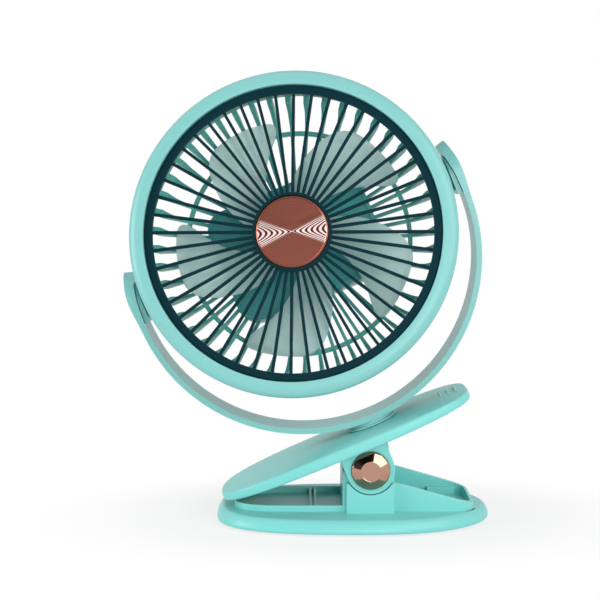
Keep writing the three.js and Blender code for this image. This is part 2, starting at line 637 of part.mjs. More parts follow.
// The impeller: a cupped hub and five broad petals. Its first petal points just below the right.
function impeller() {
  const { hub, blades } = FAN;
  const cup = turned([
    [0, -13], [13.4, -13], [hub, -9.6], [hub, 4], [hub - 1.8, 4], [hub - 1.8, -9], [4, -9], [4, -2], [0, -2],
  ], 28);
  const first = -24.5 * deg;
  const petals = Array.from({ length: blades }, (_, i) => (
    placed(blade(), 0, 0, 0, 0, -(first + (i / blades) * 2 * Math.PI))
  ));
  const inside = rod(hub - 1.8, -9, 12, 4, 28);
  return cut(join(cup, ...petals), inside, rod(SHAFT.radius + GAP, -12, 0, 0, 14));
}

// One fin of the rear guard, from the rim round the bowl to the tub: a deep web at the rim that slims
// down to the ring, and straight from there in.
function fin(turn) {
  const { fin: width, ringInner, ringY, backY } = GUARD;
  const end = tubReach(turn) - 1;
  const outer = [[83.8, -1], [83, 5.6], [78, 17.2], [ringInner + 1, backY], [end, backY]];
  const inner = [[end, ringY], [ringInner + 1, ringY], [68.6, 16], [74, 8.4], [77, -1]];
  return placed(placed(slab([...outer, ...inner], -width / 2, width / 2), 0, 0, 0, -Math.PI / 2), 0, 0, 0, 0, turn);
}

// How far the tub's outside is from the axis in one direction.
function tubReach(turn) {
  const across = Math.abs(Math.cos(turn));
  const up = Math.abs(Math.sin(turn));
  const inset = BOX.corner;
  const flat = Math.min(BOX.halfWidth / Math.max(across, 1e-6), BOX.halfHeight / Math.max(up, 1e-6));
  const [x, z] = [BOX.halfWidth - inset, BOX.halfHeight - inset];
  if (flat * across < x || flat * up < z) return flat;
  const along = across * x + up * z;
  return along + Math.sqrt(along ** 2 - x ** 2 - z ** 2 + inset ** 2);
}

// The rear guard: a bowl of fins on two rings, moulded in one with the tub for the works.
function rearGuard() {
  const { hoopInner, ringOuter, ringInner, ringY, backY, fins } = GUARD;
  const hoopOuter = hoopInner + 2.5;
  const hoop = turned([
    [hoopInner, -2.2], [hoopOuter, -2.2], [hoopOuter, -0.4], [hoopOuter - 0.7, 3.2], [hoopInner, 3.2],
  ], 48);
  const ring = turned([
    [ringInner, ringY + 0.1], [ringOuter, ringY + 0.1], [ringOuter, backY - 0.5], [ringInner, backY - 0.5],
  ], 48);
  const bars = Array.from({ length: fins }, (_, i) => fin(((i + 0.5) / fins) * 2 * Math.PI));
  return join(hoop, ring, ...bars, tub());
}

const boxLevel = (inset, y) => (
  roundedRing(BOX.halfWidth - inset, BOX.halfHeight - inset, BOX.corner - inset * 0.7, y)
);

function screwSpots() {
  const x = BOX.halfWidth - 7.2;
  const z = BOX.halfHeight - 7.2;
  return [[x, z], [-x, z], [-x, -z], [x, -z]];
}

// The same solid of revolution at each of the cover's four screws.
const atScrews = (body) => screwSpots().map(([x, z]) => placed(body, x, 0, z));

// The open tub in the guard's middle: front wall with the motor's hole, lip, sides and screw bosses.
function tub() {
  const { frontY, partY, wall } = BOX;
  const outside = stacked([boxLevel(0, partY), boxLevel(0, frontY + 1), boxLevel(1, frontY)]);
  const inside = stacked([boxLevel(wall, partY + 1), boxLevel(wall, frontY + 2)]);
  const lipRoom = stacked([boxLevel(2.6, frontY + 0.8), boxLevel(2.6, frontY - 1)]);
  return cut(
    join(cut(outside, inside, lipRoom), ...atScrews(rod(3.4, frontY + 1, partY, 0, 12))),
    rod(MOTOR.radius + 0.8, frontY - 2, frontY + 4, 0, 28),
    ...atScrews(rod(1.1, frontY + 3, partY + 1, 0, 8)),
  );
}

// The rear cover: a soft-edged lid with holes for the button, light, socket and screws.
function rearCover() {
  const { partY, backY, wall } = BOX;
  const outside = stacked([
    boxLevel(4.4, backY), boxLevel(2, backY - 1), boxLevel(0.5, backY - 3.4), boxLevel(0, backY - 6.4),
    boxLevel(0, partY + GAP),
  ]);
  const inside = stacked([boxLevel(4.6, backY - wall), boxLevel(wall, backY - 6), boxLevel(wall, partY - 1)]);
  const slots = [-2, -1, 0, 1, 2].map((i) => {
    const z = VENT.z + i * VENT.pitch;
    return block(-VENT.halfWidth, VENT.halfWidth, backY - 5, backY + 2, z - VENT.half, z + VENT.half);
  });
  return cut(
    join(cut(outside, inside), ...atScrews(rod(3.4, partY + GAP, backY - 1.2, 0, 12))),
    ...atScrews(rod(1.5, partY - 1, backY + 1, 0, 10)),
    ...atScrews(rod(2.9, backY - 4, backY + 1, 0, 14)),
    placed(rod(BUTTON.radius + GAP, backY - 5, backY + 1, 0, 28), 0, 0, BUTTON.z),
    placed(rod(LIGHT.radius + GAP, backY - 5, backY + 1, 0, 16), LIGHT.x, 0, BUTTON.z),
    socketOpening(),
    ...slots,
  );
}

// The opening in the cover's top round the charging socket.
function socketOpening() {
  const across = SOCKET.halfWidth + 0.4;
  return block(-across, across, SOCKET.y - 2, SOCKET.y + 2, BOX.halfHeight - 6, BOX.halfHeight + 2);
}

function coverScrew(x, z) {
  const { frontY, backY } = BOX;
  const headY = backY - 3.9;
  const body = turned([
    [0, backY - 2], [1.9, backY - 2], [2.6, backY - 2.6], [2.6, headY], [0.8, headY], [0.8, frontY + 5], [0, frontY + 5],
  ], 12);
  return placed(cut(body, ...crossDrive(1.4, backY - 2.9, backY)), x, 0, z);
}

// ---------------------------------------------------------------- works inside the head
const MOTOR = { radius: 12.2, frontY: 9.4, backY: 28.8 };
const SHAFT = { radius: 1, frontY: -11.5, backY: 11.7 };

// The motor: a can with a stepped front and a terminal plate behind.
function motorCan() {
  const { radius, frontY, backY } = MOTOR;
  const can = turned([
    [0, backY + 1.2], [6, backY + 1.2], [6, backY], [radius, backY], [radius, frontY + 1], [radius - 1.2, frontY],
    [4.4, frontY], [4.4, frontY - 1.8], [0, frontY - 1.8],
  ], 24);
  return cut(can, rod(SHAFT.radius + GAP, frontY - 4, SHAFT.backY + GAP, 0, 14));
}

const motorShaft = () => rod(SHAFT.radius, SHAFT.frontY, SHAFT.backY, 0, 14);

// A single round cell, lying across the tub below the motor.
function battery() {
  const cell = turned([
    [0, -32.5], [8.4, -32.5], [8.9, -31.8], [8.9, 31.4], [8.2, 32.2], [3, 32.2], [3, 33.4], [0, 33.4],
  ], 24);
  return placed(cell, 0, 26, -22.2, 0, 0, Math.PI / 2);
}

// The circuit board behind the motor, with its switch, controller, inductor and light.
function circuitBoard() {
  const front = BOARD_Y;
  const back = front + 1.4;
  const dip = 0.1;
  return join(
    block(-30, 30, front, back, 2, 27.6),
    block(-22, -14, front - 1.2, front + dip, 10, 18),
    placed(rod(3.4, front - 3.4, front + dip, 0, 16), 20, 0, 9),
    block(-3, 3, back - dip, back + 1, BUTTON.z - 3, BUTTON.z + 3),
    block(LIGHT.x - 1.2, LIGHT.x + 1.2, back - dip, back + 0.8, BUTTON.z - 1, BUTTON.z + 1),
  );
}

// The charging socket: a rounded metal mouth in the top of the cover, with a tongue inside.
function chargingSocket() {
  const { halfWidth, halfDepth, y, innerZ, mouthZ } = SOCKET;
  const level = (inset, z) => roundedRing(halfWidth - inset, halfDepth - inset, 1.5 - inset * 0.6, z, 3)
    .map(([across, height, depth]) => [across, y + depth, height]);
  const shell = cut(
    stacked([level(0, innerZ), level(0, mouthZ)]),
    stacked([level(0.45, innerZ + 1), level(0.45, mouthZ + 1)]),
  );
  return join(shell, block(-3, 3, y - 0.35, y + 0.35, innerZ + 0.5, mouthZ - 0.8));
}

// The power button: a dished cap on a flange that keeps it inside the cover.
function powerButton() {
  const { z, radius, flange, proud } = BUTTON;
  const face = BOX.backY + proud;
  const seat = BOX.backY - BOX.wall - GAP;
  return placed(turned([
    [0, seat - 0.9], [flange, seat - 0.9], [flange, seat], [radius, seat], [radius, face - 0.5], [radius - 0.6, face],
    [3, face - 0.35], [0, face - 0.5],
  ], 24), 0, 0, z);
}

function lightLens() {
  const { x, radius } = LIGHT;
  const seat = BOX.backY - BOX.wall - GAP;
  return placed(turned([
    [0, seat - 0.9], [2.4, seat - 0.9], [2.4, seat], [radius, seat], [radius, BOX.backY - 0.1], [0, BOX.backY + 0.25],
  ], 16), x, 0, BUTTON.z);
}

// ---------------------------------------------------------------- assembly
const object = new THREE.Group();
const fan = new THREE.Group();
const jawGroup = new THREE.Group();
const yokeGroup = new THREE.Group();
const headGroup = new THREE.Group();
const impellerGroup = new THREE.Group();

jawGroup.position.set(PIN.x, 0, PIN.z);
jawGroup.rotation.y = -JAW_TILT;
yokeGroup.position.set(SWIVEL.along, 0, PIVOT_HEIGHT);
headGroup.rotation.x = -HEAD_TILT;
fan.position.x = BASE_MIDDLE;
object.add(fan);
fan.add(jawGroup);
jawGroup.add(yokeGroup);
yokeGroup.add(headGroup);
headGroup.add(impellerGroup);

fan.add(piece('base_shell', baseShell(), plastic(MINT)));
for (const [side, end, x, y] of FEET) fan.add(piece(`foot_${end}_${side}`, foot(x, y), plastic(RUBBER, 0.8)));
fan.add(piece('hinge_pin', hingePin(), metal(STEEL)));
fan.add(piece('pin_cap_front', pinCap(-1), metal(COPPER, 0.12)));
fan.add(piece('pin_cap_back', pinCap(1), metal(COPPER, 0.12)));
fan.add(piece('hinge_spring', hingeSpring(), metal(STEEL)));

jawGroup.add(piece('upper_jaw', upperJaw(), plastic(MINT)));
jawGroup.add(piece('jaw_grip_pad', jawPad(), plastic(RUBBER, 0.8)));

yokeGroup.add(piece('yoke', yoke(), plastic(MINT)));
yokeGroup.add(piece('swivel_washer', swivelWasher(), metal(STEEL)));
yokeGroup.add(piece('swivel_screw', swivelScrew(), metal(STEEL)));
yokeGroup.add(piece('pivot_pad_right', pivotPad(1), plastic(MINT)));
yokeGroup.add(piece('pivot_pad_left', pivotPad(-1), plastic(MINT)));

headGroup.add(piece('head_ring', headRing(), plastic(MINT)));
headGroup.add(piece('front_grille', frontGrille(), plastic(TEAL, 0.5)));
headGroup.add(piece('centre_disc', centreDisc(), metal(COPPER, 0.3)));
headGroup.add(piece('rear_guard', rearGuard(), plastic(MINT)));
headGroup.add(piece('rear_cover', rearCover(), plastic(MINT)));
headGroup.add(piece('motor_can', motorCan(), metal(STEEL)));
headGroup.add(piece('battery', battery(), plastic(BLUE, 0.5)));
headGroup.add(piece('circuit_board', circuitBoard(), plastic(GREEN, 0.5)));
headGroup.add(piece('charging_socket', chargingSocket(), metal(STEEL)));
headGroup.add(piece('light_lens', lightLens(), plastic(CLEAR, 0.2)));
headGroup.add(piece('pivot_pin_right', pivotPin(1), metal(STEEL)));
headGroup.add(piece('pivot_pin_left', pivotPin(-1), metal(STEEL)));
screwSpots().forEach(([x, z], i) => headGroup.add(piece(`cover_screw_${i + 1}`, coverScrew(x, z), metal(STEEL))));
headGroup.add(piece('power_button', powerButton(), plastic(MINT)));

impellerGroup.add(piece('impeller', impeller(), plastic(BLADE, 0.35)));
impellerGroup.add(piece('motor_shaft', motorShaft(), metal(STEEL)));

export default object;
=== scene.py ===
# %% [markdown]
# This file dresses a small clip fan. An oval clip stands flat and grips a desk edge, a C-shaped
# yoke swivels on its jaw, and a round head tilts in the yoke.
# The CAD solids give every place and size. Blender gives the smooth curves, the small radii and the
# finishes. New pieces are drawn in millimetres in the frame of the part that carries them, and one
# matrix puts them in place in metres, so a number here is the same number as on the drawing.

# %% The frame, and the numbers shared by all pieces
from math import asin, atan2, cos, degrees, pi, radians, sin, sqrt, tan

import bmesh
import bpy
from mathutils import Matrix, Vector
from mathutils.geometry import interpolate_bezier


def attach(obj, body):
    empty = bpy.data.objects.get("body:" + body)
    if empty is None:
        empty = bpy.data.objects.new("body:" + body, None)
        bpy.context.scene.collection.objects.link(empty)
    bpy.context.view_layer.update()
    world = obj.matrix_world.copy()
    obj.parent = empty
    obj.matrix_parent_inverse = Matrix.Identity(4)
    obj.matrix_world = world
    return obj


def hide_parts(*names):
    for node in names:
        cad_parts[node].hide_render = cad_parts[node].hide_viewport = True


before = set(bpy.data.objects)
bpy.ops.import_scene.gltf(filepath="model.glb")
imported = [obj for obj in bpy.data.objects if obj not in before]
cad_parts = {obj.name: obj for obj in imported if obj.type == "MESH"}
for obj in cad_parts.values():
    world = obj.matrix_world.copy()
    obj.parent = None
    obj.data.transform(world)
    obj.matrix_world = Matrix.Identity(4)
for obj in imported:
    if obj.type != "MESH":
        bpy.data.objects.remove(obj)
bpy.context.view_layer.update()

BASE_MIDDLE = 25.97                         # the base's oval lies this far right of the origin
PIN_X, PIN_Z = 8.8, 32.6                    # the hinge pin, from the middle of the base
JAW_TILT = radians(22.5)                    # the closed jaw falls to the left
SWIVEL_ALONG, PIVOT_HEIGHT = 10.1, 132.0    # the swivel along the jaw, the tilt pins above it
HEAD_TILT = radians(12.6)                   # the head looks up a little

base_place = Matrix.Scale(0.001, 4) @ Matrix.Translation((BASE_MIDDLE, 0, 0))
jaw_place = base_place @ Matrix.Translation((PIN_X, 0, PIN_Z)) @ Matrix.Rotation(-JAW_TILT, 4, "Y")
yoke_place = jaw_place @ Matrix.Translation((SWIVEL_ALONG, 0, PIVOT_HEIGHT))
head_place = yoke_place @ Matrix.Rotation(-HEAD_TILT, 4, "X")
print("pivot in metres", [round(v, 4) for v in head_place.translation])

# %% [markdown]
# The photograph was taken with a long lens a little above the middle of the fan, looking down by
# about five degrees. The camera comes first, so that every later look at the scene is the
# photograph's look. A long lens keeps round things round, which is why the distance is more than
# three times the height.

# %% Camera
CAMERA_SPOT = (-0.0040, -0.8157, 0.2007)
LOOKS_DOWN = radians(5.4)
LENS, SENSOR = 87.36, 36                    # millimetres

camera_data = bpy.data.cameras.new("photo_camera")
camera_data.sensor_width = SENSOR
camera_data.lens = LENS
camera_data.clip_start = 0.05
camera = bpy.data.objects.new("photo_camera", camera_data)
camera.location = CAMERA_SPOT
camera.rotation_euler = (radians(90) - LOOKS_DOWN, 0, 0)
bpy.context.scene.collection.objects.link(camera)
bpy.context.scene.camera = camera
print("camera at", tuple(round(v, 3) for v in camera.location))

# %% [markdown]
# A moulded part is never one flat colour. Under a studio light it shows a faint cloudiness from the
# pigment, a very fine skin grain from the mould, and edges rubbed slightly paler.
# Each of these is a node group, so that every plastic can use it with its own values. Noise and the
# Bevel node could sit in each material by themselves, but then a change would have to be made ten
# times.

# %% Helpers for node groups
def group_with(name, inputs, outputs):
    tree = bpy.data.node_groups.new(name, "ShaderNodeTree")
    for label, kind, value in inputs:
        socket = tree.interface.new_socket(label, in_out="INPUT", socket_type=kind)
        if value is not None:
            socket.default_value = value
    for label, kind in outputs:
        tree.interface.new_socket(label, in_out="OUTPUT", socket_type=kind)
    return tree, tree.nodes.new("NodeGroupInput"), tree.nodes.new("NodeGroupOutput")


def node(tree, kind, links=None, **settings):
    made = tree.nodes.new(kind)
    for key, value in settings.items():
        setattr(made, key, value)
    for socket, source in (links or {}).items():
        if isinstance(source, bpy.types.NodeSocket):
            tree.links.new(source, made.inputs[socket])
        else:
            made.inputs[socket].default_value = source
    return made


def calc(tree, operation, a, b=0.0, c=0.0, clamp=False):
    made = node(tree, "ShaderNodeMath", {0: a, 1: b, 2: c}, operation=operation, use_clamp=clamp)
    return made.outputs[0]


print("node helpers are group_with, node and calc")

# %% Group: skin grain and pigment cloud of moulded plastic
FLOAT, VECTOR = "NodeSocketFloat", "NodeSocketVector"


def moulded_skin():
    tree, given, out = group_with(
        "moulded_skin",
        [("Vector", VECTOR, None), ("Grain Size", FLOAT, 0.0004), ("Cloud Size", FLOAT, 0.03)],
        [("Height", FLOAT), ("Cloud", FLOAT), ("Rub", FLOAT)],
    )
    per_grain = calc(tree, "DIVIDE", 1.0, given.outputs["Grain Size"])
    per_cloud = calc(tree, "DIVIDE", 1.0, given.outputs["Cloud Size"])
    per_rub = calc(tree, "MULTIPLY", per_cloud, 6.0)
    noises = {"Height": (per_grain, 3.0, 0.55), "Cloud": (per_cloud, 4.0, 0.5),
              "Rub": (per_rub, 5.0, 0.65)}
    for label, (scale, detail, roughness) in noises.items():
        noise = node(tree, "ShaderNodeTexNoise", {
            "Vector": given.outputs["Vector"], "Scale": scale, "Detail": detail,
            "Roughness": roughness,
        })
        tree.links.new(noise.outputs["Fac"], out.inputs[label])
    return tree


MOULDED_SKIN = moulded_skin()
print("group", MOULDED_SKIN.name)

# %% Group: edges rubbed paler where hands and cloths reach them
def edge_rub():
    tree, given, out = group_with(
        "edge_rub",
        [("Radius", FLOAT, 0.0006), ("Amount", FLOAT, 0.6), ("Break Up", FLOAT, 0.5)],
        [("Mask", FLOAT)],
    )
    bevel = node(tree, "ShaderNodeBevel", {"Radius": given.outputs["Radius"]}, samples=4)
    soft, sharp = bevel.outputs["Normal"], node(tree, "ShaderNodeNewGeometry").outputs["Normal"]
    alike = node(tree, "ShaderNodeVectorMath", {0: soft, 1: sharp}, operation="DOT_PRODUCT")
    bend = calc(tree, "SUBTRACT", 1.0, alike.outputs["Value"])
    edge = node(tree, "ShaderNodeMapRange", {"Value": bend, "From Min": 0.004, "From Max": 0.12})
    broken = calc(tree, "MULTIPLY_ADD", given.outputs["Break Up"], 1.4, 0.1, clamp=True)
    mask = calc(tree, "MULTIPLY", edge.outputs["Result"], broken)
    mask = calc(tree, "MULTIPLY", mask, given.outputs["Amount"], clamp=True)
    tree.links.new(mask, out.inputs["Mask"])
    return tree


EDGE_RUB = edge_rub()
print("group", EDGE_RUB.name)

# %% Group: fine dust that settles on faces that look up
def settled_dust():
    tree, given, out = group_with(
        "settled_dust", [("Vector", VECTOR, None), ("Amount", FLOAT, 0.1)], [("Mask", FLOAT)],
    )
    normal = node(tree, "ShaderNodeNewGeometry").outputs["Normal"]
    up = node(tree, "ShaderNodeSeparateXYZ", {0: normal}).outputs["Z"]
    facing = node(tree, "ShaderNodeMapRange", {"Value": up, "From Min": 0.35, "From Max": 1.0})
    speck = node(tree, "ShaderNodeTexNoise", {
        "Vector": given.outputs["Vector"], "Scale": 900.0, "Detail": 4.0,
    })
    mask = calc(tree, "MULTIPLY", facing.outputs["Result"], speck.outputs["Fac"])
    mask = calc(tree, "MULTIPLY", mask, given.outputs["Amount"], clamp=True)
    tree.links.new(mask, out.inputs["Mask"])
    return tree


SETTLED_DUST = settled_dust()
print("group", SETTLED_DUST.name)

# %% [markdown]
# The shell, clip and yoke are one mint plastic, satin rather than glossy. A plastic material here
# is a Principled BSDF whose colour, roughness and bump come from the groups. The pigment cloud moves
# the colour by a few per cent, and the rub and dust masks lift it toward a paler one. Numbers that
# are the same all over a piece, such as its gloss, are set on the shader itself.

# %% Helper: a finished plastic
CLOUD_SIZE, GRAIN_DEPTH = 0.05, 0.00004     # metres
RUBBED_PALE = 0.4                           # how far a rubbed edge goes toward white
ROUGH_SPREAD, DUST_ROUGH = 0.12, 0.5        # what rubbing and dust do to the roughness
DUST_GREY = (0.62, 0.61, 0.58, 1)
PLASTIC_IOR = 1.46


def principled(name):
    material = bpy.data.materials.new(name)
    material.use_nodes = True
    tree = material.node_tree
    return material, tree, tree.nodes["Principled BSDF"]


def mix_colour(tree, factor, a, b, blend="MIX"):
    made = node(tree, "ShaderNodeMix", {0: factor, 6: a, 7: b}, data_type="RGBA", blend_type=blend)
    return made.outputs[2]


def object_place(tree):
    return node(tree, "ShaderNodeTexCoord").outputs["Object"]


def skin_at(tree, where, grain, cloud):
    return node(tree, "ShaderNodeGroup", {
        "Vector": where, "Grain Size": grain, "Cloud Size": cloud,
    }, node_tree=MOULDED_SKIN).outputs


def plastic(name, colour, shade, roughness=0.35, grain=0.0004, bump=0.24, rub=0.35, dust=0.12,
            gloss=0.5):
    material, tree, shader = principled(name)
    where = object_place(tree)
    skin = skin_at(tree, where, grain, CLOUD_SIZE)
    rubbed = node(tree, "ShaderNodeGroup", {"Amount": rub, "Break Up": skin["Rub"]},
                  node_tree=EDGE_RUB).outputs["Mask"]
    dusty = node(tree, "ShaderNodeGroup", {"Vector": where, "Amount": dust},
                 node_tree=SETTLED_DUST).outputs["Mask"]
    pale = tuple((1 - RUBBED_PALE) * c + RUBBED_PALE for c in colour) + (1,)
    base = mix_colour(tree, skin["Cloud"], colour + (1,), shade + (1,))
    base = mix_colour(tree, rubbed, base, pale)
    base = mix_colour(tree, dusty, base, DUST_GREY)
    tree.links.new(base, shader.inputs["Base Color"])
    rough = calc(tree, "MULTIPLY_ADD", skin["Rub"], ROUGH_SPREAD, roughness - ROUGH_SPREAD / 2)
    rough = calc(tree, "ADD", rough, calc(tree, "MULTIPLY", dusty, DUST_ROUGH), clamp=True)
    tree.links.new(rough, shader.inputs["Roughness"])
    bumped = node(tree, "ShaderNodeBump", {
        "Strength": bump, "Distance": GRAIN_DEPTH, "Height": skin["Height"],
    })
    tree.links.new(bumped.outputs["Normal"], shader.inputs["Normal"])
    shader.inputs["IOR"].default_value = PLASTIC_IOR
    shader.inputs["Specular IOR Level"].default_value = gloss
    return material


print("edges are rubbed", RUBBED_PALE, "of the way to white")

# %% Plastics and rubber of this fan
mint = plastic("mint_plastic", (0.228, 0.575, 0.552), (0.21, 0.547, 0.526), roughness=0.33)
# The clip's copy of the mint is greener and less red than the shell's. That is painted light: the
# deep green of light that bounces round its tray, tower and jaw.
mint_clip_painted_light = plastic("mint_plastic_clip_painted_light", (0.213, 0.675, 0.645), (0.196, 0.645, 0.615),
                    roughness=0.36)
# The rear guard's copy of the mint is less red and a deeper green than the shell's. That is painted
# shade, because the guard always lies inside the head.
mint_painted_shade = plastic("mint_plastic_painted_shade", (0.15, 0.62, 0.54), (0.13, 0.58, 0.50),
                     roughness=0.42, rub=0.2)
teal = plastic("teal_plastic", (0.001, 0.028, 0.038), (0.001, 0.024, 0.033),
               roughness=0.45, rub=0.05, dust=0.02, gloss=0.08)
rubber = plastic("pad_rubber", (0.115, 0.32, 0.29), (0.10, 0.29, 0.26),
                 roughness=0.75, grain=0.0003, bump=0.8, rub=0.1)
wrap = plastic("cell_wrap", (0.042, 0.156, 0.376), (0.038, 0.14, 0.34), roughness=0.3, rub=0.1)
board = plastic("board_green", (0.014, 0.107, 0.042), (0.012, 0.09, 0.036), roughness=0.5, rub=0.1)
lens = plastic("lens_plastic", (0.80, 0.89, 0.85), (0.76, 0.86, 0.82), roughness=0.2, rub=0.0)
print("plastics", [m.name for m in (mint, mint_clip_painted_light, mint_painted_shade, teal, rubber, wrap, board, lens)])

# %% [markdown]
# The middle of the rear guard always lies in the shade of the petals, and a painted shade makes it a
# deeper green than its rim. The colour is multiplied by a tint whose strength depends on the distance
# from the fan's axis. That distance is the length of a cross product with the axis, so it holds for a
# head that is tilted.

# %% Painted shade in the middle of the rear guard
PETAL_SHADE_TINT = (0.47, 0.66, 0.76, 1)
DEEP_WITHIN, PLAIN_BEYOND = 0.050, 0.064    # metres from the axis


def centred(tree, middle):
    return node(tree, "ShaderNodeMapping", {"Vector": object_place(tree), "Location": -middle},
                vector_type="POINT").outputs[0]


def length_of(tree, vector):
    return node(tree, "ShaderNodeVectorMath", {0: vector}, operation="LENGTH").outputs["Value"]


def painted_petal_shade(material, place):
    tree = material.node_tree
    colour = tree.nodes["Principled BSDF"].inputs["Base Color"]
    axis = (place.to_3x3() @ Vector((0, 1, 0))).normalized()
    across = node(tree, "ShaderNodeVectorMath", {0: centred(tree, place.translation), 1: axis},
                  operation="CROSS_PRODUCT").outputs[0]
    rim = node(tree, "ShaderNodeMapRange", {
        "Value": length_of(tree, across), "From Min": DEEP_WITHIN, "From Max": PLAIN_BEYOND,
    })
    plain = colour.links[0].from_socket
    # The painted shade: the plain colour multiplied by the tint.
    deep = mix_colour(tree, 1.0, plain, PETAL_SHADE_TINT, blend="MULTIPLY")
    tree.links.new(mix_colour(tree, rim.outputs["Result"], deep, plain), colour)
    print(material.name, "is deeper within", DEEP_WITHIN, "m of the axis")


painted_petal_shade(mint_painted_shade, head_place)

# %% [markdown]
# Beside plain steel the fan has two looks of metal. The pin caps are polished, so they are only a
# colour, a low roughness and a faint haze. The disc in the hub is turned on a lathe, and its fine
# circular grooves pull every reflection into two bright fans. Anisotropic with a tangent round the
# axis could draw them, but they would then depend on the lamps of one room. So the fans are bands
# painted by the distance and the direction from the disc's middle, and they turn with the head. The
# grooves themselves are cut in the mesh.

# %% Metals
METAL_CLOUD, METAL_SPECK = 0.008, 0.0005    # metres
METAL_SHADE = 0.86


def metal(name, colour, roughness, haze=0.06):
    material, tree, shader = principled(name)
    skin = skin_at(tree, object_place(tree), METAL_SPECK, METAL_CLOUD)
    darker = tuple(METAL_SHADE * c for c in colour) + (1,)
    base = mix_colour(tree, skin["Cloud"], colour + (1,), darker)
    tree.links.new(base, shader.inputs["Base Color"])
    rough = calc(tree, "MULTIPLY_ADD", skin["Rub"], haze * 2, roughness - haze, clamp=True)
    tree.links.new(rough, shader.inputs["Roughness"])
    shader.inputs["Metallic"].default_value = 1.0
    return material


steel = metal("steel", (0.50, 0.51, 0.52), 0.28)
rose_cap = metal("rose_cap", (0.52, 0.30, 0.22), 0.10, haze=0.03)
print("metals", steel.name, rose_cap.name)

# %% Material: the turned disc, with painted reflections in bands of light and dark to its left and right
DISC_FACE, DISC_REACH = -24.5, 18.9         # how far forward the face lies, and its radius
GROOVE_STEP, BAND_STEP = 0.84, 3.1          # millimetres from groove to groove and band to band
FAN_TURN, FAN_EDGE = radians(5), 0.40       # the fans lean a little; sine of their half angle
# The bands are painted reflections. FACE_DARK to FACE_LIGHT is the disc's own copper, striped by a
# painted sheen along its fine grooves.
REFLECTION_BAND_DARK, REFLECTION_BAND_LIGHT = (0.10, 0.008, 0.006, 1), (1.0, 0.80, 0.76, 1)
FACE_DARK, FACE_LIGHT = (0.18, 0.051, 0.035, 1), (0.28, 0.10, 0.073, 1)


def turned_disc():
    material = metal("rose_disc", (0.42, 0.135, 0.095), 0.27, haze=0.03)
    tree = material.node_tree
    shader = tree.nodes["Principled BSDF"]
    spot = centred(tree, head_place @ Vector((0, DISC_FACE, 0)))
    up = node(tree, "ShaderNodeVectorMath", {0: spot, 1: (-sin(FAN_TURN), 0, cos(FAN_TURN))},
              operation="DOT_PRODUCT").outputs["Value"]
    radius = length_of(tree, spot)
    not_zero = calc(tree, "ADD", radius, 0.0002)
    slant = calc(tree, "DIVIDE", calc(tree, "ABSOLUTE", up), not_zero)
    fan = node(tree, "ShaderNodeMapRange", {
        "Value": slant, "From Min": FAN_EDGE - 0.07, "From Max": FAN_EDGE + 0.03,
        "To Min": 1.0, "To Max": 0.0,
    }, interpolation_type="SMOOTHSTEP").outputs["Result"]
    on_face = calc(tree, "LESS_THAN", radius, DISC_REACH / 1000)
    square = calc(tree, "MULTIPLY", slant, slant)
    bend = calc(tree, "MULTIPLY_ADD", square, -1 / FAN_EDGE ** 2, 1.0)
    bent = calc(tree, "MULTIPLY", radius, bend)
    # Painted reflections: arcs of light and dark inside the two fans.
    wave = calc(tree, "COSINE", calc(tree, "MULTIPLY", bent, 2000 * pi / BAND_STEP))
    wave = calc(tree, "MULTIPLY_ADD", wave, 1.2, 0.60, clamp=True)
    # Painted sheen: the copper lightens and darkens with each fine groove.
    fine = calc(tree, "SINE", calc(tree, "MULTIPLY", radius, 2000 * pi / GROOVE_STEP))
    fine = calc(tree, "MULTIPLY_ADD", fine, 0.35, 0.5)
    bands = mix_colour(tree, wave, REFLECTION_BAND_DARK, REFLECTION_BAND_LIGHT)
    plain = mix_colour(tree, fine, FACE_DARK, FACE_LIGHT)
    base = mix_colour(tree, calc(tree, "MULTIPLY", fan, on_face), plain, bands)
    tree.links.new(base, shader.inputs["Base Color"])
    shader.inputs["Anisotropic"].default_value = 0.5
    return material


rose_disc = turned_disc()
print("disc", rose_disc.name)

# %% [markdown]
# The petals are moulded from a smoky, slightly see-through plastic. Full glass would be slow and
# would bend the picture behind it. A thin sheet like this is better as a satin surface with a little
# transparency from Alpha, one plain number on the shader, which every renderer reads the same way.

# %% Material: petals
PETAL_ALPHA = 0.76
blade = plastic("blade_plastic", (0.60, 0.88, 0.85), (0.56, 0.84, 0.81), roughness=0.38, rub=0.2,
                dust=0.03)
blade.node_tree.nodes["Principled BSDF"].inputs["Alpha"].default_value = PETAL_ALPHA
print("petals", blade.name)

# %% [markdown]
# Nearly every piece here is a moulding or a turning, so a handful of helpers make them all. Each
# returns a bmesh, Blender's editable mesh, in millimetres. turned() spins a profile, slab()
# extrudes an outline, stack() extrudes a ring from level to level, bent_sheet() bends a grid and
# gives it a wall, and softened() rounds sharp edges. Bridging ready-made rings is the other way to
# stack them, but two rings at one height can come out crossed. Modifiers could do much of this too,
# but plain operators leave a finished mesh that can be looked at after every step.

# %% Helpers: outlines
def rounded(points, closed=True, steps=5):
    outline = []
    for i, point in enumerate(points):
        corner = Vector(point[:2])
        radius = point[2] if len(point) > 2 else 0
        if not radius or (not closed and i in (0, len(points) - 1)):
            outline.append(corner)
            continue
        before = Vector(points[i - 1][:2]) - corner
        after = Vector(points[(i + 1) % len(points)][:2]) - corner
        half = before.angle(after) / 2
        reach = min(radius / tan(half), 0.49 * before.length, 0.49 * after.length)
        radius = reach * tan(half)
        before.normalize()
        after.normalize()
        middle = corner + (before + after).normalized() * radius / sin(half)
        first, last = corner + before * reach - middle, corner + after * reach - middle
        for k in range(steps + 1):
            outline.append(middle + first.lerp(last, k / steps).normalized() * radius)
    return outline


def arc(centre_a, centre_b, radius, start, end, steps=24):
    turns = [radians(start + (end - start) * k / steps) for k in range(steps + 1)]
    return [(centre_a + radius * cos(t), centre_b + radius * sin(t)) for t in turns]


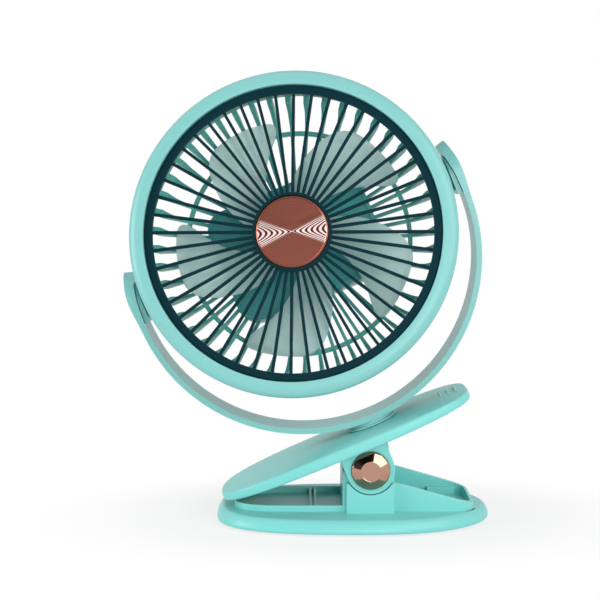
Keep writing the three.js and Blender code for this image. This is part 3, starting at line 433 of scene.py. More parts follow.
def oval_spot(turn, half_length, half_depth, full_left, full_right):
    c, s = cos(turn), sin(turn)
    power = 2 / (full_left + (full_right - full_left) * (c + 1) / 2)
    return (half_length * abs(c) ** power * (1 if c > 0 else -1),
            half_depth * abs(s) ** power * (1 if s > 0 else -1))


def oval(half_length, half_depth, full_left, full_right, count=144, z=0.0, shift=0.0):
    ring = []
    for i in range(count):
        x, y = oval_spot(2 * pi * i / count, half_length, half_depth, full_left, full_right)
        ring.append(Vector((x + shift, y, z)))
    return ring


corner = rounded([(0, 0), (9, 0, 2), (9, 9)], closed=False)[1:-1]
print("a rounded corner has", len(corner), "points")

# %% Helpers: turned and flat solids
def welded(part):
    bmesh.ops.remove_doubles(part, verts=part.verts, dist=0.0002)
    bmesh.ops.dissolve_degenerate(part, edges=part.edges, dist=0.0001)
    bmesh.ops.recalc_face_normals(part, faces=part.faces)
    return part


def verts_in(geometry):
    return [g for g in geometry if isinstance(g, bmesh.types.BMVert)]


def turned(profile, steps=128, closed=False):
    part = bmesh.new()
    verts = [part.verts.new((point[0], point[1], 0)) for point in profile]
    pairs = list(zip(verts, verts[1:])) + ([(verts[-1], verts[0])] if closed else [])
    edges = [part.edges.new(pair) for pair in pairs]
    bmesh.ops.spin(part, geom=verts + edges, cent=(0, 0, 0), axis=(0, 1, 0), dvec=(0, 0, 0),
                   angle=2 * pi, steps=steps, use_merge=True)
    return welded(part)


def rod(radius, y0, y1, steps=48):
    return turned([(0, y0), (radius, y0), (radius, y1), (0, y1)], steps)


def slab(outline, y0, y1):
    part = bmesh.new()
    verts = [part.verts.new((point[0], y0, point[1])) for point in outline]
    edges = [part.edges.new(pair) for pair in zip(verts, verts[1:] + verts[:1])]
    bmesh.ops.contextual_create(part, geom=edges)
    grown = bmesh.ops.extrude_face_region(part, geom=part.faces[:])["geom"]
    bmesh.ops.translate(part, verts=verts_in(grown), vec=(0, y1 - y0, 0))
    return welded(part)


print("a turned rod has", len(rod(1, 0, 1).faces), "faces")

# %% Helpers: stacked and bent solids, and soft edges
def stack(rings):
    part = bmesh.new()
    verts = bmesh.ops.create_circle(part, cap_ends=False, segments=len(rings[0]), radius=1)["verts"]
    edges = part.edges[:]
    bmesh.ops.contextual_create(part, geom=edges)
    for level, ring in enumerate(rings):
        if level:
            made = bmesh.ops.extrude_edge_only(part, edges=edges)["geom"]
            fresh = set(verts_in(made))
            verts = [next(e.other_vert(v) for e in v.link_edges if e.other_vert(v) in fresh)
                     for v in verts]
            edges = [g for g in made
                     if isinstance(g, bmesh.types.BMEdge) and fresh.issuperset(g.verts)]
        for vert, point in zip(verts, ring):
            vert.co = point
    bmesh.ops.contextual_create(part, geom=edges)
    return welded(part)


def bent_sheet(columns, rows, spot):
    part = bmesh.new()
    bmesh.ops.create_grid(part, x_segments=columns, y_segments=rows, size=1)
    flat = {}
    for vert in part.verts:
        u, v, _ = vert.co
        vert.co = spot(u, v, 0)
        flat[vert.co.to_tuple()] = (u, v)
    for vert in verts_in(bmesh.ops.extrude_face_region(part, geom=part.faces[:])["geom"]):
        vert.co = spot(*flat[vert.co.to_tuple()], 1)
    return welded(part)


def softened(part, width, segments=2, angle=40):
    edges = [e for e in part.edges
             if len(e.link_faces) == 2 and e.calc_face_angle() > radians(angle)]
    bmesh.ops.bevel(part, geom=edges, offset=width, affect="EDGES", segments=segments, profile=0.5,
                    material=-1, clamp_overlap=True)
    return welded(part)


def block(x0, x1, y0, y1, z0, z1, soft=0.0, segments=2):
    part = bmesh.new()
    bmesh.ops.create_cube(part, size=1)
    middle = ((x0 + x1) / 2, (y0 + y1) / 2, (z0 + z1) / 2)
    bmesh.ops.scale(part, vec=(x1 - x0, y1 - y0, z1 - z0), verts=part.verts)
    bmesh.ops.translate(part, vec=middle, verts=part.verts)
    return softened(part, soft, segments) if soft else part


print("a softened block has", len(block(-1, 1, -1, 1, -1, 1, 0.2).faces), "faces")

# %% Helpers: place and repeat
UP = Matrix.Rotation(pi / 2, 4, "X")
MIRROR_Y = Matrix.Scale(-1, 4, (0, 1, 0))


def moved(part, matrix):
    bmesh.ops.transform(part, matrix=matrix, verts=part.verts)
    if matrix.determinant() < 0:
        bmesh.ops.reverse_faces(part, faces=part.faces)
    return part


def shifted(part, x, y, z):
    return moved(part, Matrix.Translation((x, y, z)))


def merged(*parts):
    whole = bmesh.new()
    for part in parts:
        mesh = bpy.data.meshes.new("part")
        part.to_mesh(mesh)
        whole.from_mesh(mesh)
        bpy.data.meshes.remove(mesh)
        part.free()
    return whole


def copies(part, matrices):
    made = [moved(part.copy(), matrix) for matrix in matrices]
    part.free()
    return merged(*made)


def around(part, count):
    return copies(part, [Matrix.Rotation(2 * pi * i / count, 4, "Y") for i in range(count)])


def on_both_sides(part):
    return copies(part, [Matrix.Identity(4), MIRROR_Y])


print("four in a circle:", len(around(rod(1, 0, 1), 4).faces), "faces")

# %% [markdown]
# Some shapes cross where no loop of edges runs, such as a bore through the bent yoke. There a boolean
# with the exact solver is the cleanest tool. It is a modifier, so it needs two objects for a moment,
# and both are removed again.

# %% Helper: cut one solid from another, or join them
def combined(body, tool, operation="DIFFERENCE"):
    holders = []
    for part in (body, tool):
        mesh = bpy.data.meshes.new("holder")
        part.to_mesh(mesh)
        part.free()
        holder = bpy.data.objects.new("holder", mesh)
        bpy.context.scene.collection.objects.link(holder)
        holders.append(holder)
    work = holders[0].modifiers.new("work", "BOOLEAN")
    work.object, work.operation, work.solver, work.use_self = holders[1], operation, "EXACT", True
    graph = bpy.context.evaluated_depsgraph_get()
    result = bpy.data.meshes.new_from_object(holders[0].evaluated_get(graph))
    part = bmesh.new()
    part.from_mesh(result)
    used = [holder.data for holder in holders] + [result]
    for holder in holders:
        bpy.data.objects.remove(holder)
    for mesh in used:
        bpy.data.meshes.remove(mesh)
    return welded(part)


# %% [markdown]
# Every finished piece goes into the scene in the same way. Its faces are smooth, its sharp edges are
# marked by their angle, and weighted normals keep a flat face flat beside a small bevel. The object
# stays at the origin and its place is in its mesh. The last calls say which body carries the piece
# and which CAD solid it stands for.

# %% Helper: put a finished piece in the scene
def shown(name, part, material, place, body, slot, *nodes, sharp=32):
    for face in part.faces:
        face.smooth = True
    for edge in part.edges:
        edge.smooth = len(edge.link_faces) == 2 and edge.calc_face_angle() < radians(sharp)
    part.transform(place)
    mesh = bpy.data.meshes.new(name)
    part.to_mesh(mesh)
    part.free()
    mesh.materials.append(material)
    piece = bpy.data.objects.new(name, mesh)
    bpy.context.scene.collection.objects.link(piece)
    even = piece.modifiers.new("even_normals", "WEIGHTED_NORMAL")
    even.keep_sharp = True
    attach(piece, body)
    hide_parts(*nodes)
    print(name, len(mesh.polygons), "faces, rides on", body)
    return piece


# %% [markdown]
# The clip's base is one moulding: an oval plate with a rolled rim, a low tray wall that climbs in a
# ramp on the right, and a tower for the hinge. A box with a Subdivision Surface would give a soft
# oval but no control of its rim, so the plate is a stack of ovals, each extruded from the one
# before: up from below, over the rim and into the tray. Its underside is hollow with thin ribs.

# %% Base plate
BASE_LONG, BASE_DEEP = 76.8, 49.0           # half of the oval's length and depth
BASE_LOW, BASE_HIGH = 1.2, 8.6
BASE_FULL = (2.9, 2.1)                      # how square its left and right ends are, 2 is round
TRAY_LONG, TRAY_DEEP, TRAY_FLOOR = 67.0, 25.5, 7.9
TRAY_FULL = (4, 9)


def base_ring(inset, z):
    return oval(BASE_LONG - inset, BASE_DEEP - inset, *BASE_FULL, z=z)


def tray_ring(inset, z):
    return oval(TRAY_LONG - inset, TRAY_DEEP - inset, *TRAY_FULL, z=z)


def base_plate():
    rim = [(0.8, 0), (0.3, 0.35), (0.05, 0.9), (0.0, 1.6), (0.15, 2.6), (0.45, 3.6), (0.9, 4.6),
           (1.4, 5.5), (2.05, 6.3), (2.8, 6.9), (3.5, 7.25), (4.4, 7.4)]
    hollow = [(5.2, 4.2), (4.6, 3.8), (4, 0)]
    rings = [base_ring(inset, BASE_LOW + rise) for inset, rise in hollow + rim]
    rings += [tray_ring(-0.6, BASE_HIGH), tray_ring(0.6, BASE_HIGH), tray_ring(1, TRAY_FLOOR)]
    return stack(rings)


print("base ring points", len(base_ring(0, 0)))

# %% Ribs and bosses under the base
RIB = 0.8                                   # half of a rib's width
FEET = {"front_left": (-52, -24), "back_left": (-52, 24),
        "front_right": (50, -22), "back_right": (50, 22)}


def base_ribs():
    low, high = BASE_LOW + 0.15, BASE_LOW + 4.4
    ribs = []
    for x in (-49, -24.5, 0, 24.5, 49):
        reach = 45.5 * (1 - abs(x / BASE_LONG) ** 2.6) ** (1 / 2.6) - 1
        ribs.append(block(x - RIB, x + RIB, -reach, reach, low, high, 0.2, 1))
    for y in (-22.5, 0, 22.5):
        reach = 73 * (1 - abs(y / BASE_DEEP) ** 2.5) ** (1 / 2.5) - 0.5
        ribs.append(block(-reach, reach, y - RIB, y + RIB, low, high, 0.2, 1))
    return merged(*ribs)


def foot_bosses():
    profile = rounded([(0, 2.5), (6.3, 2.5), (6.3, 1.2, 0.2), (8, 1.2, 0.4), (8, 5.6), (0, 5.6)],
                      closed=False)
    return copies(moved(turned(profile, 48), UP),
                  [Matrix.Translation((x, y, 0)) for x, y in FEET.values()])


print("feet at", FEET)

# %% [markdown]
# The tray wall is a thin strip that runs round a squared oval. A flat grid becomes the strip: its
# columns follow the oval, its rows go up to the local height, and an extrusion gives it its wall.
# The right half climbs to the tower, so its height is a straight line in X. Solidify on a curve's
# strip would do the same, but its wall would grow thinner in the tight corners.

# %% Tray wall
STRIP_LOW, STRIP_THICK = 7.0, 2.0
LEFT_HEIGHT = 11.8
RAMP_TOP, RAMP_END, RAMP_FROM, RAMP_TO = 25.2, 13.4, 22.0, 63.5
LEFT_REACH, RIGHT_REACH = pi / 2 + 0.0043, pi / 2 - 0.02     # both strips end inside the tower


def wall_strip(middle, reach, height):
    def spot(u, v, side):
        inset = STRIP_THICK * side
        x, y = oval_spot(middle + u * reach, TRAY_LONG - inset, TRAY_DEEP - inset, *TRAY_FULL)
        return Vector((x, y, STRIP_LOW + (height(x) - STRIP_LOW) * (v + 1) / 2))

    return softened(bent_sheet(96, 6, spot), 0.45, 2, angle=60)


def ramp_height(x):
    return RAMP_TOP - (RAMP_TOP - RAMP_END) * max(0, x - RAMP_FROM) / (RAMP_TO - RAMP_FROM)


def tray_wall():
    return merged(wall_strip(pi, LEFT_REACH, lambda x: LEFT_HEIGHT),
                  wall_strip(0, RIGHT_REACH, ramp_height))


def tray_ribs():
    ribs = [block(x, x + 1.2, -24.6, 24.6, 6.9, 11, 0.3) for x in (-24.6, -22)]
    near_ledge = block(45, 59, -23.6, -19.5, 6.9, 11.6, 0.5)
    far_ledge = block(44, 60, 18.6, 23.6, 6.9, 12.2, 0.5)
    return merged(*ribs, near_ledge, far_ledge)


print("ramp height over the ledges", round(ramp_height(52), 2))

# %% [markdown]
# The tower has two cheeks that hold the pin, and outside them two blocks that are hollowed to the
# radius of the jaw's ears, so the ears turn in them. All are outlines seen from the front, extruded
# in depth, with their sharp edges rounded by half a millimetre as a mould would leave them. Cubes
# and a cylinder cut by booleans would do it too, but an outline keeps the arc clean.

# %% Hinge tower
TOWER_LOW, TOWER_HALF = 7.1, 13.2
CHEEK_IN, CHEEK_OUT, TOWER_OUT = 21.4, 25.7, 30.0
CRADLE_TOP, CRADLE_RADIUS = 25.0, 13.95


def tower():
    low, right, left = TOWER_LOW, PIN_X + TOWER_HALF, PIN_X - TOWER_HALF
    cheek = [(left, low), (right, low), (right, 33.6, 1.5), (19.9, 35.6, 2)]
    cheek += arc(PIN_X, PIN_Z, 11.4, 24, 156, 24) + [(-2.3, 35.6, 2), (left, 33.6, 1.5)]
    across = sqrt(CRADLE_RADIUS ** 2 - (PIN_Z - CRADLE_TOP) ** 2)
    turn = degrees(atan2(CRADLE_TOP - PIN_Z, across))
    cradle = [(left - 0.05, low - 0.1), (right + 0.05, low - 0.1), (right + 0.05, CRADLE_TOP, 0.8)]
    cradle += arc(PIN_X, PIN_Z, CRADLE_RADIUS, turn, -180 - turn, 32) + [(left - 0.05, CRADLE_TOP)]
    side = merged(softened(slab(rounded(cheek), CHEEK_IN, CHEEK_OUT), 0.5, 3, 50),
                  softened(slab(rounded(cradle), CHEEK_OUT - 1, TOWER_OUT), 0.6, 3, 50))
    deep = CHEEK_OUT - 0.1
    return merged(on_both_sides(side),
                  block(left - 2, left + 0.4, -deep, deep, low, PIN_Z - 1.4, 0.6, 3),
                  block(right - 2, right - 0.05, -deep, deep, low, 22, 0.6, 3))


clip_base = merged(base_plate(), base_ribs(), foot_bosses(), tray_wall(), tray_ribs(), tower())
shown("clip_base", clip_base, mint_clip_painted_light, base_place, "base", "mint_plastic", "base_shell")

# %% [markdown]
# Four rubber feet keep the clip from sliding. Each is a short turning with a rounded lower edge, set
# in its boss. A cylinder with a Bevel modifier would look the same, but a profile says in one line
# how wide and how high the foot is.

# %% Feet
for corner, (x, y) in FEET.items():
    foot = turned(rounded([(0, 0), (6, 0, 0.8), (6, 2.2, 0.3), (0, 2.2)], closed=False), 48)
    shown("rubber_foot_" + corner, shifted(moved(foot, UP), x, y, 0), rubber, base_place, "base",
          "pad_rubber", "foot_" + corner)

# %% [markdown]
# Each pin cap is a short polished turning with a broad cone round a flat middle. Polished metal
# only looks like metal when there is something to mirror, so the cone's edges are crisp and thin.

# %% Pin caps
for side, y, facing in (("front", -TOWER_OUT, pi), ("back", TOWER_OUT, 0)):
    cap = turned(rounded([
        (0, 1.2), (3.2, 1.2), (3.2, -0.3), (10.2, -0.3, 0.2), (10.5, 0.2), (10.5, 1.5, 0.3),
        (9.9, 2.0, 0.2), (5.5, 4.55, 0.25), (5.2, 4.4, 0.2), (0, 4.4),
    ], closed=False, steps=4), 96)
    place = Matrix.Translation((PIN_X, y, PIN_Z)) @ Matrix.Rotation(facing, 4, "X")
    shown("polished_cap_" + side, moved(cap, place), rose_cap, base_place, "base", "rose_cap",
          "pin_cap_" + side)

# %% [markdown]
# The clip closes by a torsion spring round the pin. A Screw modifier or a curve with a round bevel
# could wind it. Here a small circle is spun with a step along the axis, which makes the coil, and
# its ends are extruded into straight legs, so it is one closed wire.

# %% Hinge spring
WIRE, COIL, COIL_TURNS, COIL_PITCH = 0.9, 7.0, 5.6, 3.2
COIL_START, COIL_STEPS = radians(-50), 36   # where the first leg leaves, and steps in one turn
LEG_IN, LEG_OUT = 12, 5


def hinge_spring():
    part = bmesh.new()
    ring = bmesh.ops.create_circle(part, cap_ends=False, segments=12, radius=WIRE)["verts"]
    first = Matrix.Translation((COIL, -COIL_TURNS * COIL_PITCH / 2, 0))
    bmesh.ops.transform(part, matrix=Matrix.Rotation(-COIL_START, 4, "Y") @ first, verts=ring)
    leg = bmesh.ops.extrude_edge_only(part, edges=part.edges[:])["geom"]
    bmesh.ops.translate(part, verts=verts_in(leg),
                        vec=(LEG_IN * sin(COIL_START), 0, -LEG_IN * cos(COIL_START)))
    loop = {e for v in ring for e in v.link_edges if all(w in ring for w in e.verts)}
    made = bmesh.ops.spin(part, geom=ring + list(loop), cent=(0, 0, 0), axis=(0, 1, 0),
                          dvec=(0, COIL_PITCH / COIL_STEPS, 0), angle=-2 * pi * COIL_TURNS,
                          steps=round(COIL_TURNS * COIL_STEPS))["geom_last"]
    last = [g for g in made if isinstance(g, bmesh.types.BMEdge)]
    leg = bmesh.ops.extrude_edge_only(part, edges=last)["geom"]
    end = COIL_START + 2 * pi * COIL_TURNS
    bmesh.ops.translate(part, verts=verts_in(leg), vec=(-LEG_OUT * sin(end), 0, LEG_OUT * cos(end)))
    bmesh.ops.holes_fill(part, edges=[e for e in part.edges if e.is_boundary])
    bmesh.ops.recalc_face_normals(part, faces=part.faces)
    return shifted(part, PIN_X, 0, PIN_Z)


shown("closing_spring", hinge_spring(), steel, base_place, "base", "steel", "hinge_spring")

# %% [markdown]
# The jaw is a long oval lever with a slightly crowned top. As with the base, ovals are stacked from
# its underside over the rolled edge to the crown, here with a height that falls a little toward
# both ends. Its ears and thumb ridges are then joined to it, and the cells below are cut, with exact
# booleans, because they cross its curved skin where no loop of it runs.

# %% Jaw plate
JAW_LONG, JAW_DEEP, JAW_SHIFT = 75.3, 36.0, -8.3
JAW_FULL = (2.9, 3.4)
JAW_UNDER, JAW_EDGE, JAW_CROWN = 11.7, 18.0, 1.2


def jaw_ring(share, inset, crown=0.0):
    ring = oval(JAW_LONG - inset, JAW_DEEP - inset, *JAW_FULL)
    for point in ring:
        left, right = max(0, -point.x / JAW_LONG) ** 2, max(0, point.x / JAW_LONG) ** 2
        low, high = JAW_UNDER + 1.6 * right, JAW_EDGE - 1.4 * left
        point.z = low + (high - low) * share + crown * JAW_CROWN * (1 - 0.6 * left)
        point.x += JAW_SHIFT
    return ring


def jaw_plate():
    edge = [(0, 0.8), (0.04, 0.35), (0.12, 0.1), (0.28, 0), (0.45, 0), (0.68, 0.04), (0.80, 0.14),
            (0.89, 0.34), (0.955, 0.68), (0.99, 1.1)]
    crown = [(1.6, 0.02), (4, 0.2), (7, 0.45), (10, 0.63), (14, 0.8), (18, 0.9), (23, 0.97),
             (28, 1), (34, 1)]
    return stack([jaw_ring(share, inset) for share, inset in edge]
                 + [jaw_ring(1, inset, rise) for inset, rise in crown])


print("jaw ring points", len(jaw_ring(0, 0)))

# %% Ears, thumb ridges and the cells under the jaw
EAR_RADIUS, EAR_IN, EAR_OUT = 13.4, -26, -30
CELL_LONG, CELL_DEEP, CELL_WALL = 21, 20, 0.8


def ears():
    outline = [(EAR_RADIUS, JAW_UNDER + 3), (-EAR_RADIUS, JAW_UNDER + 3)]
    outline += arc(0, 0, EAR_RADIUS, 180, 360, 48)
    return on_both_sides(softened(slab(outline, EAR_OUT, EAR_IN), 0.4, 3, 60))


def thumb_ridges():
    return merged(*[block(x - 0.6, x + 0.6, -6, 6, 17.2, 19.8, 0.5, 3) for x in (51.4, 55.9, 60.4)])


def jaw_pockets():
    pockets = []
    for x in [-39.8 + CELL_LONG * i for i in range(5)]:
        for y in (-CELL_DEEP, 0, CELL_DEEP):
            on_swivel = abs(x - SWIVEL_ALONG) < 20 and y == 0
            by_ear = abs(x) < 20 and y != 0
            if not on_swivel and not by_ear:
                long, deep = CELL_LONG / 2 - CELL_WALL, CELL_DEEP / 2 - CELL_WALL
                pockets.append(block(x - long, x + long, y - deep, y + deep, JAW_UNDER - 1,
                                     JAW_UNDER + 4.2, 0.4, 1))
    inside = stack([[Vector((p.x, p.y, JAW_UNDER + rise)) for p in jaw_ring(0, inset)]
                    for rise, inset in ((-2, 3.4), (6, 3.8))])
    return combined(merged(*pockets), inside, "INTERSECT")


print("cells are", CELL_LONG, "by", CELL_DEEP, "mm")

# %% The whole jaw
PAD_X = -64.6
POST_END = 15.7                             # the yoke's post ends here, over its washer


def pad_ring(inset, z):
    return oval(12 - inset, 20 - inset, 3, 3, 64, z=z, shift=PAD_X)


def swivel_hole(radius, low, high):
    return shifted(moved(rod(radius, low, high, 64), UP), SWIVEL_ALONG, 0, 0)


def jaw():
    plate = combined(jaw_plate(), merged(ears(), thumb_ridges()), "UNION")
    tools = [swivel_hole(9.5, JAW_UNDER - 1, POST_END), swivel_hole(5.3, 15, 25), jaw_pockets(),
             stack([pad_ring(0, JAW_UNDER - 1), pad_ring(0, JAW_UNDER + 1.2)]),
             rod(2.9, -40, 40, 32), on_both_sides(rod(10.8, 29.4, 45, 96))]
    return combined(plate, merged(*tools))


shown("clip_jaw", jaw(), mint_clip_painted_light, jaw_place, "jaw", "mint_plastic", "upper_jaw")

# %% [markdown]
# A soft pad under the jaw's far end presses on the desk. It is an oval stacked from four rings, and
# five grooves are cut across it, which let the rubber bend and grip. An array of bars would be a
# lighter mesh, but a moulded pad is one piece.

# %% Grip pad
def grip_pad():
    face = JAW_UNDER - 0.6
    pad = stack([pad_ring(1.4, face), pad_ring(0.9, face + 0.15), pad_ring(0.6, face + 0.6),
                 pad_ring(0.3, JAW_UNDER + 0.9)])
    grooves = [block(PAD_X + x - 0.6, PAD_X + x + 0.6, -20, 20, face - 1, face + 0.7, 0.25)
               for x in (-8, -4, 0, 4, 8)]
    return combined(pad, merged(*grooves))


shown("grip_pad", grip_pad(), rubber, jaw_place, "jaw", "pad_rubber", "jaw_grip_pad")

# %% [markdown]
# The yoke is a flat strip of plastic bent to a C, with round ends that grow thicker where they hold
# the pivots. A grid is bent into place: its columns follow the arc, and its rows give the width,
# which rounds off near each tip. Extruding it outward by the local thickness closes it, and a bevel
# softens its edges.

# %% Yoke band
YOKE_RADIUS, YOKE_DROP = 95.2, 9.4          # the middle of the arc lies below the tilt pins
YOKE_HALF, YOKE_TIP, YOKE_SAG = 13.5, 17.5, 1.9
YOKE_THICK, TIP_GROWTH = 3.1, 2.2
TIP_ROUND = radians(86.85)


def yoke_angle(rise):
    return 90 + degrees(asin((rise + YOKE_DROP) / YOKE_RADIUS))


def yoke_spot(u, v, side):
    share = abs(u) * 1.25                   # up to 1 along the arc, and the last 0.25 round the tip
    if share < 1:
        angle, half = yoke_angle(0) * share, YOKE_HALF
    else:
        round_off = TIP_ROUND * (share - 1) / 0.25
        angle, half = yoke_angle(YOKE_TIP * sin(round_off)), YOKE_HALF * cos(round_off)
    grown = min(1, max(0, (angle - 85) / 16))
    grown = grown * grown * (3 - 2 * grown)
    sag = YOKE_SAG * (1 - min(1, angle / 90) ** 3)
    radius = YOKE_RADIUS + sag + side * (YOKE_THICK + TIP_GROWTH * grown)
    turn = radians(angle) * (1 if u > 0 else -1)
    return Vector((radius * sin(turn), half * v, -radius * cos(turn) - YOKE_DROP))


print("yoke ends", round(yoke_angle(YOKE_TIP), 1), "degrees from its foot")

# %% Yoke with its foot and post
JAW_TOP = JAW_EDGE + JAW_CROWN
PIVOT_BORE = 3.3


def pivot_bore():
    return moved(rod(PIVOT_BORE, -120, 120), Matrix.Rotation(pi / 2, 4, "Z"))


def yoke():
    foot = -YOKE_DROP - YOKE_RADIUS - YOKE_SAG - YOKE_THICK
    face = JAW_TOP - PIVOT_HEIGHT
    boss = turned(rounded([
        (0, face + 0.3), (14.6, face + 0.3, 0.2), (14.4, face + 1.0, 0.4), (12.8, face + 1.5, 0.6),
        (12.8, foot + 0.5, 0.6), (11.6, foot + 1.4), (0, foot + 1.4),
    ], closed=False), 96)
    post = rod(5, POST_END - PIVOT_HEIGHT, face + 1)
    band = combined(softened(bent_sheet(160, 8, yoke_spot), 0.75, 3, angle=60), pivot_bore())
    return merged(band, moved(boss, UP), moved(post, UP))


shown("yoke_band", yoke(), mint, yoke_place, "yoke", "mint_plastic", "yoke")

# %% [markdown]
# A thin pad on each side fills the gap between the straight side of the head and the bent yoke, and
# makes the tilt stiff. It is round above and square below. A grid is bent to that outline, and its
# outer skin is laid on the yoke's arc, which a plain extrusion could not follow. A steel pin goes
# through each.

# %% Pads between yoke and head, round above and square below
PAD_HALF, PAD_FACE, PAD_BACK = 11.5, 92.3, 94.9


def pad_spot(u, v, side):
    across, up = PAD_HALF * u, PAD_HALF * v
    if up > 0:
        turn = v * radians(86)
        across, up = across * cos(turn), PAD_HALF * sin(turn)
    x = sqrt(PAD_BACK ** 2 - (up + YOKE_DROP) ** 2) if side else PAD_FACE
    return Vector((x, across, up))


for side, turn in (("right", 0), ("left", pi)):
    pad = combined(softened(bent_sheet(16, 24, pad_spot), 0.3, 2, angle=50), pivot_bore())
    shown("friction_pad_" + side, moved(pad, Matrix.Rotation(turn, 4, "Z")), mint, yoke_place,
          "yoke", "mint_plastic", "pivot_pad_" + side)

# %% Tilt pins
for side, turn in (("right", -pi / 2), ("left", pi / 2)):
    pin = turned(rounded([(0, 86.4), (3, 86.4, 0.3), (3, 99, 0.6), (0, 99)], closed=False), 48)
    shown("tilt_pin_" + side, moved(pin, Matrix.Rotation(turn, 4, "Z")), steel, head_place, "head",
          "steel", "pivot_pin_" + side)

# %% [markdown]
# The head's shell is a turned ring: a broad rolled front, then a skirt that tapers back to the
# guard. Its roll is one Bezier curve, so light slides over it without a step, and the spin has 192
# steps, because a ring this large shows its facets at the outline long before a small one does.

# %% Head ring
BIG_STEPS = 192


def curve_points(start, lean_start, lean_end, end, count=12):
    corners = [Vector((a, b, 0)) for a, b in (start, lean_start, lean_end, end)]
    return [(point.x, point.y) for point in interpolate_bezier(*corners, count)]


def head_ring():
    seat, mouth, step, step_in = -19.7, 81.9, -17.9, 79.4
    roll = curve_points((83.2, -25.1), (87.6, -25.15), (90.5, -23.5), (90.5, -20.6), 14)
    skirt = curve_points((90.5, -20.6), (90.3, -17), (88.0, -6), (85.6, 5.0))[1:]
    inside = curve_points((83.8, 5.1), (86.2, -6), (88.4, -14), (87.5, step))
    outline = [(mouth, seat), (mouth, -24.6), (82.2, -25.0)] + roll + skirt
    outline += [(85.2, 5.5), (84.2, 5.5)] + inside + [(step_in, step), (step_in, seat)]
    boss = turned(rounded([
        (PIVOT_BORE, 85.4), (9.5, 85.4), (9.5, 92, 0.4), (PIVOT_BORE, 92, 0.3),
    ], steps=3), 64, closed=True)
    sides = [Matrix.Rotation(turn, 4, "Z") for turn in (-pi / 2, pi / 2)]
    return merged(turned(outline, BIG_STEPS, closed=True), copies(boss, sides))


shown("head_shell", head_ring(), mint, head_place, "head", "mint_plastic", "head_ring", sharp=38)

# %% [markdown]
# The front grille is a dark moulding: a flat rim, 48 straight spokes and a hub ring that holds the
# disc. One spoke is a bar with rounded edges, and copies of it are turned round the axis. An Array
# modifier on a circle would do the same, but it needs a second object for its turn.

# %% Front grille
GRILLE_FACE, GRILLE_BACK, HUB_RADIUS, SPOKES = -23.4, -20.0, 21.9, 48
RIM_IN, RIM_OUT, SPOKE_HALF = 77.2, 81.6, 0.85


def front_grille():
    rim = turned(rounded([
        (RIM_IN, GRILLE_BACK, 0.3), (RIM_IN, GRILLE_FACE, 0.7), (RIM_OUT, GRILLE_FACE, 0.7),
        (RIM_OUT, GRILLE_BACK, 0.3),
    ]), BIG_STEPS, closed=True)
    hub = turned(rounded([
        (0, GRILLE_FACE + 0.8), (20.3, GRILLE_FACE + 0.8), (20.3, GRILLE_FACE - 0.9, 0.3),
        (HUB_RADIUS, GRILLE_FACE - 0.9, 0.6), (HUB_RADIUS, GRILLE_BACK + 0.6, 0.3),
        (0, GRILLE_BACK + 0.6),
    ], closed=False), 128)
    bar = block(HUB_RADIUS - 1, RIM_IN + 1, GRILLE_FACE + 0.55, GRILLE_BACK - 0.2,
                -SPOKE_HALF, SPOKE_HALF)
    return merged(rim, hub, around(softened(bar, 0.5, 3, 50), SPOKES))


shown("spoked_grille", front_grille(), teal, head_place, "head", "teal_plastic", "front_grille")

# %% [markdown]
# The disc is turned: a shallow dome of fine circular grooves with a bright chamfer round it. A bump
# texture could draw the grooves, but the real ones, twenty-two of them, a twentieth of a millimetre
# deep, cost little and also show in the bare mesh.

# %% Turned disc
GROOVES, GROOVE_DEPTH, DOME = 22, 0.05, 0.1


def turned_face():
    profile = [(0, DISC_FACE)]
    for i in range(1, 2 * GROOVES + 1):
        radius = GROOVE_STEP / 2 * i
        dome = DOME * (radius / 18.6) ** 2
        profile.append((radius, DISC_FACE + GROOVE_DEPTH * (i % 2) + dome))
    profile += [(DISC_REACH, DISC_FACE + 0.12), (19.8, GRILLE_FACE - 0.45),
                (20.0, GRILLE_FACE - 0.2), (20.0, GRILLE_FACE + 0.5), (0, GRILLE_FACE + 0.5)]
    return turned(profile, 160)


shown("turned_disc", turned_face(), rose_disc, head_place, "head", "rose_disc", "centre_disc",
      sharp=50)

# %% [markdown]
# Five broad petals make the impeller. A petal is a grid mapped to a fan of angles: it leans back as
# it goes out, twists from 34 to 20 degrees, and rounds off at its outer corners. Its two long edges
# are thinner than its middle. The cup that carries the petals is turned, and hollow behind for the
# motor.

# %% Impeller
HUB_CUP, TIP = 17.0, 67.0
TRAILING_CORNER, LEADING_CORNER = 8.0, 12.5
PETALS, FIRST_PETAL, PETAL_HALF = 5, radians(-24.5), radians(21.5)
PITCH_ROOT, PITCH_TIP, PETAL_THICK = 34, 20, 0.8


def petal_spot(u, across, side):
    along = 1 - (1 - (u + 1) / 2) ** 1.5    # the columns lie closer together near the tip
    root = HUB_CUP - 1.5
    radius = root + (TIP - root) * along
    rounding = TRAILING_CORNER if across > 0 else LEADING_CORNER
    rise = max(0, radius - (TIP - rounding))
    corner = rounding - sqrt(max(0, rounding ** 2 - rise ** 2))
    half = PETAL_HALF - 0.9 * corner / radius
    pitch = radians(PITCH_ROOT + (PITCH_TIP - PITCH_ROOT) * along)
    angle = radians(-0.75 * (radius - 33)) + across * half
    sweep = radius * sin(across * half) * tan(pitch) * 0.55
    thick = PETAL_THICK * (1 - 0.5 * across * across)
    y = -4 - sweep - 1.6 * (1 - across * across) - (1 - 2 * side) * thick
    return Vector((radius * cos(angle), y, radius * sin(angle)))


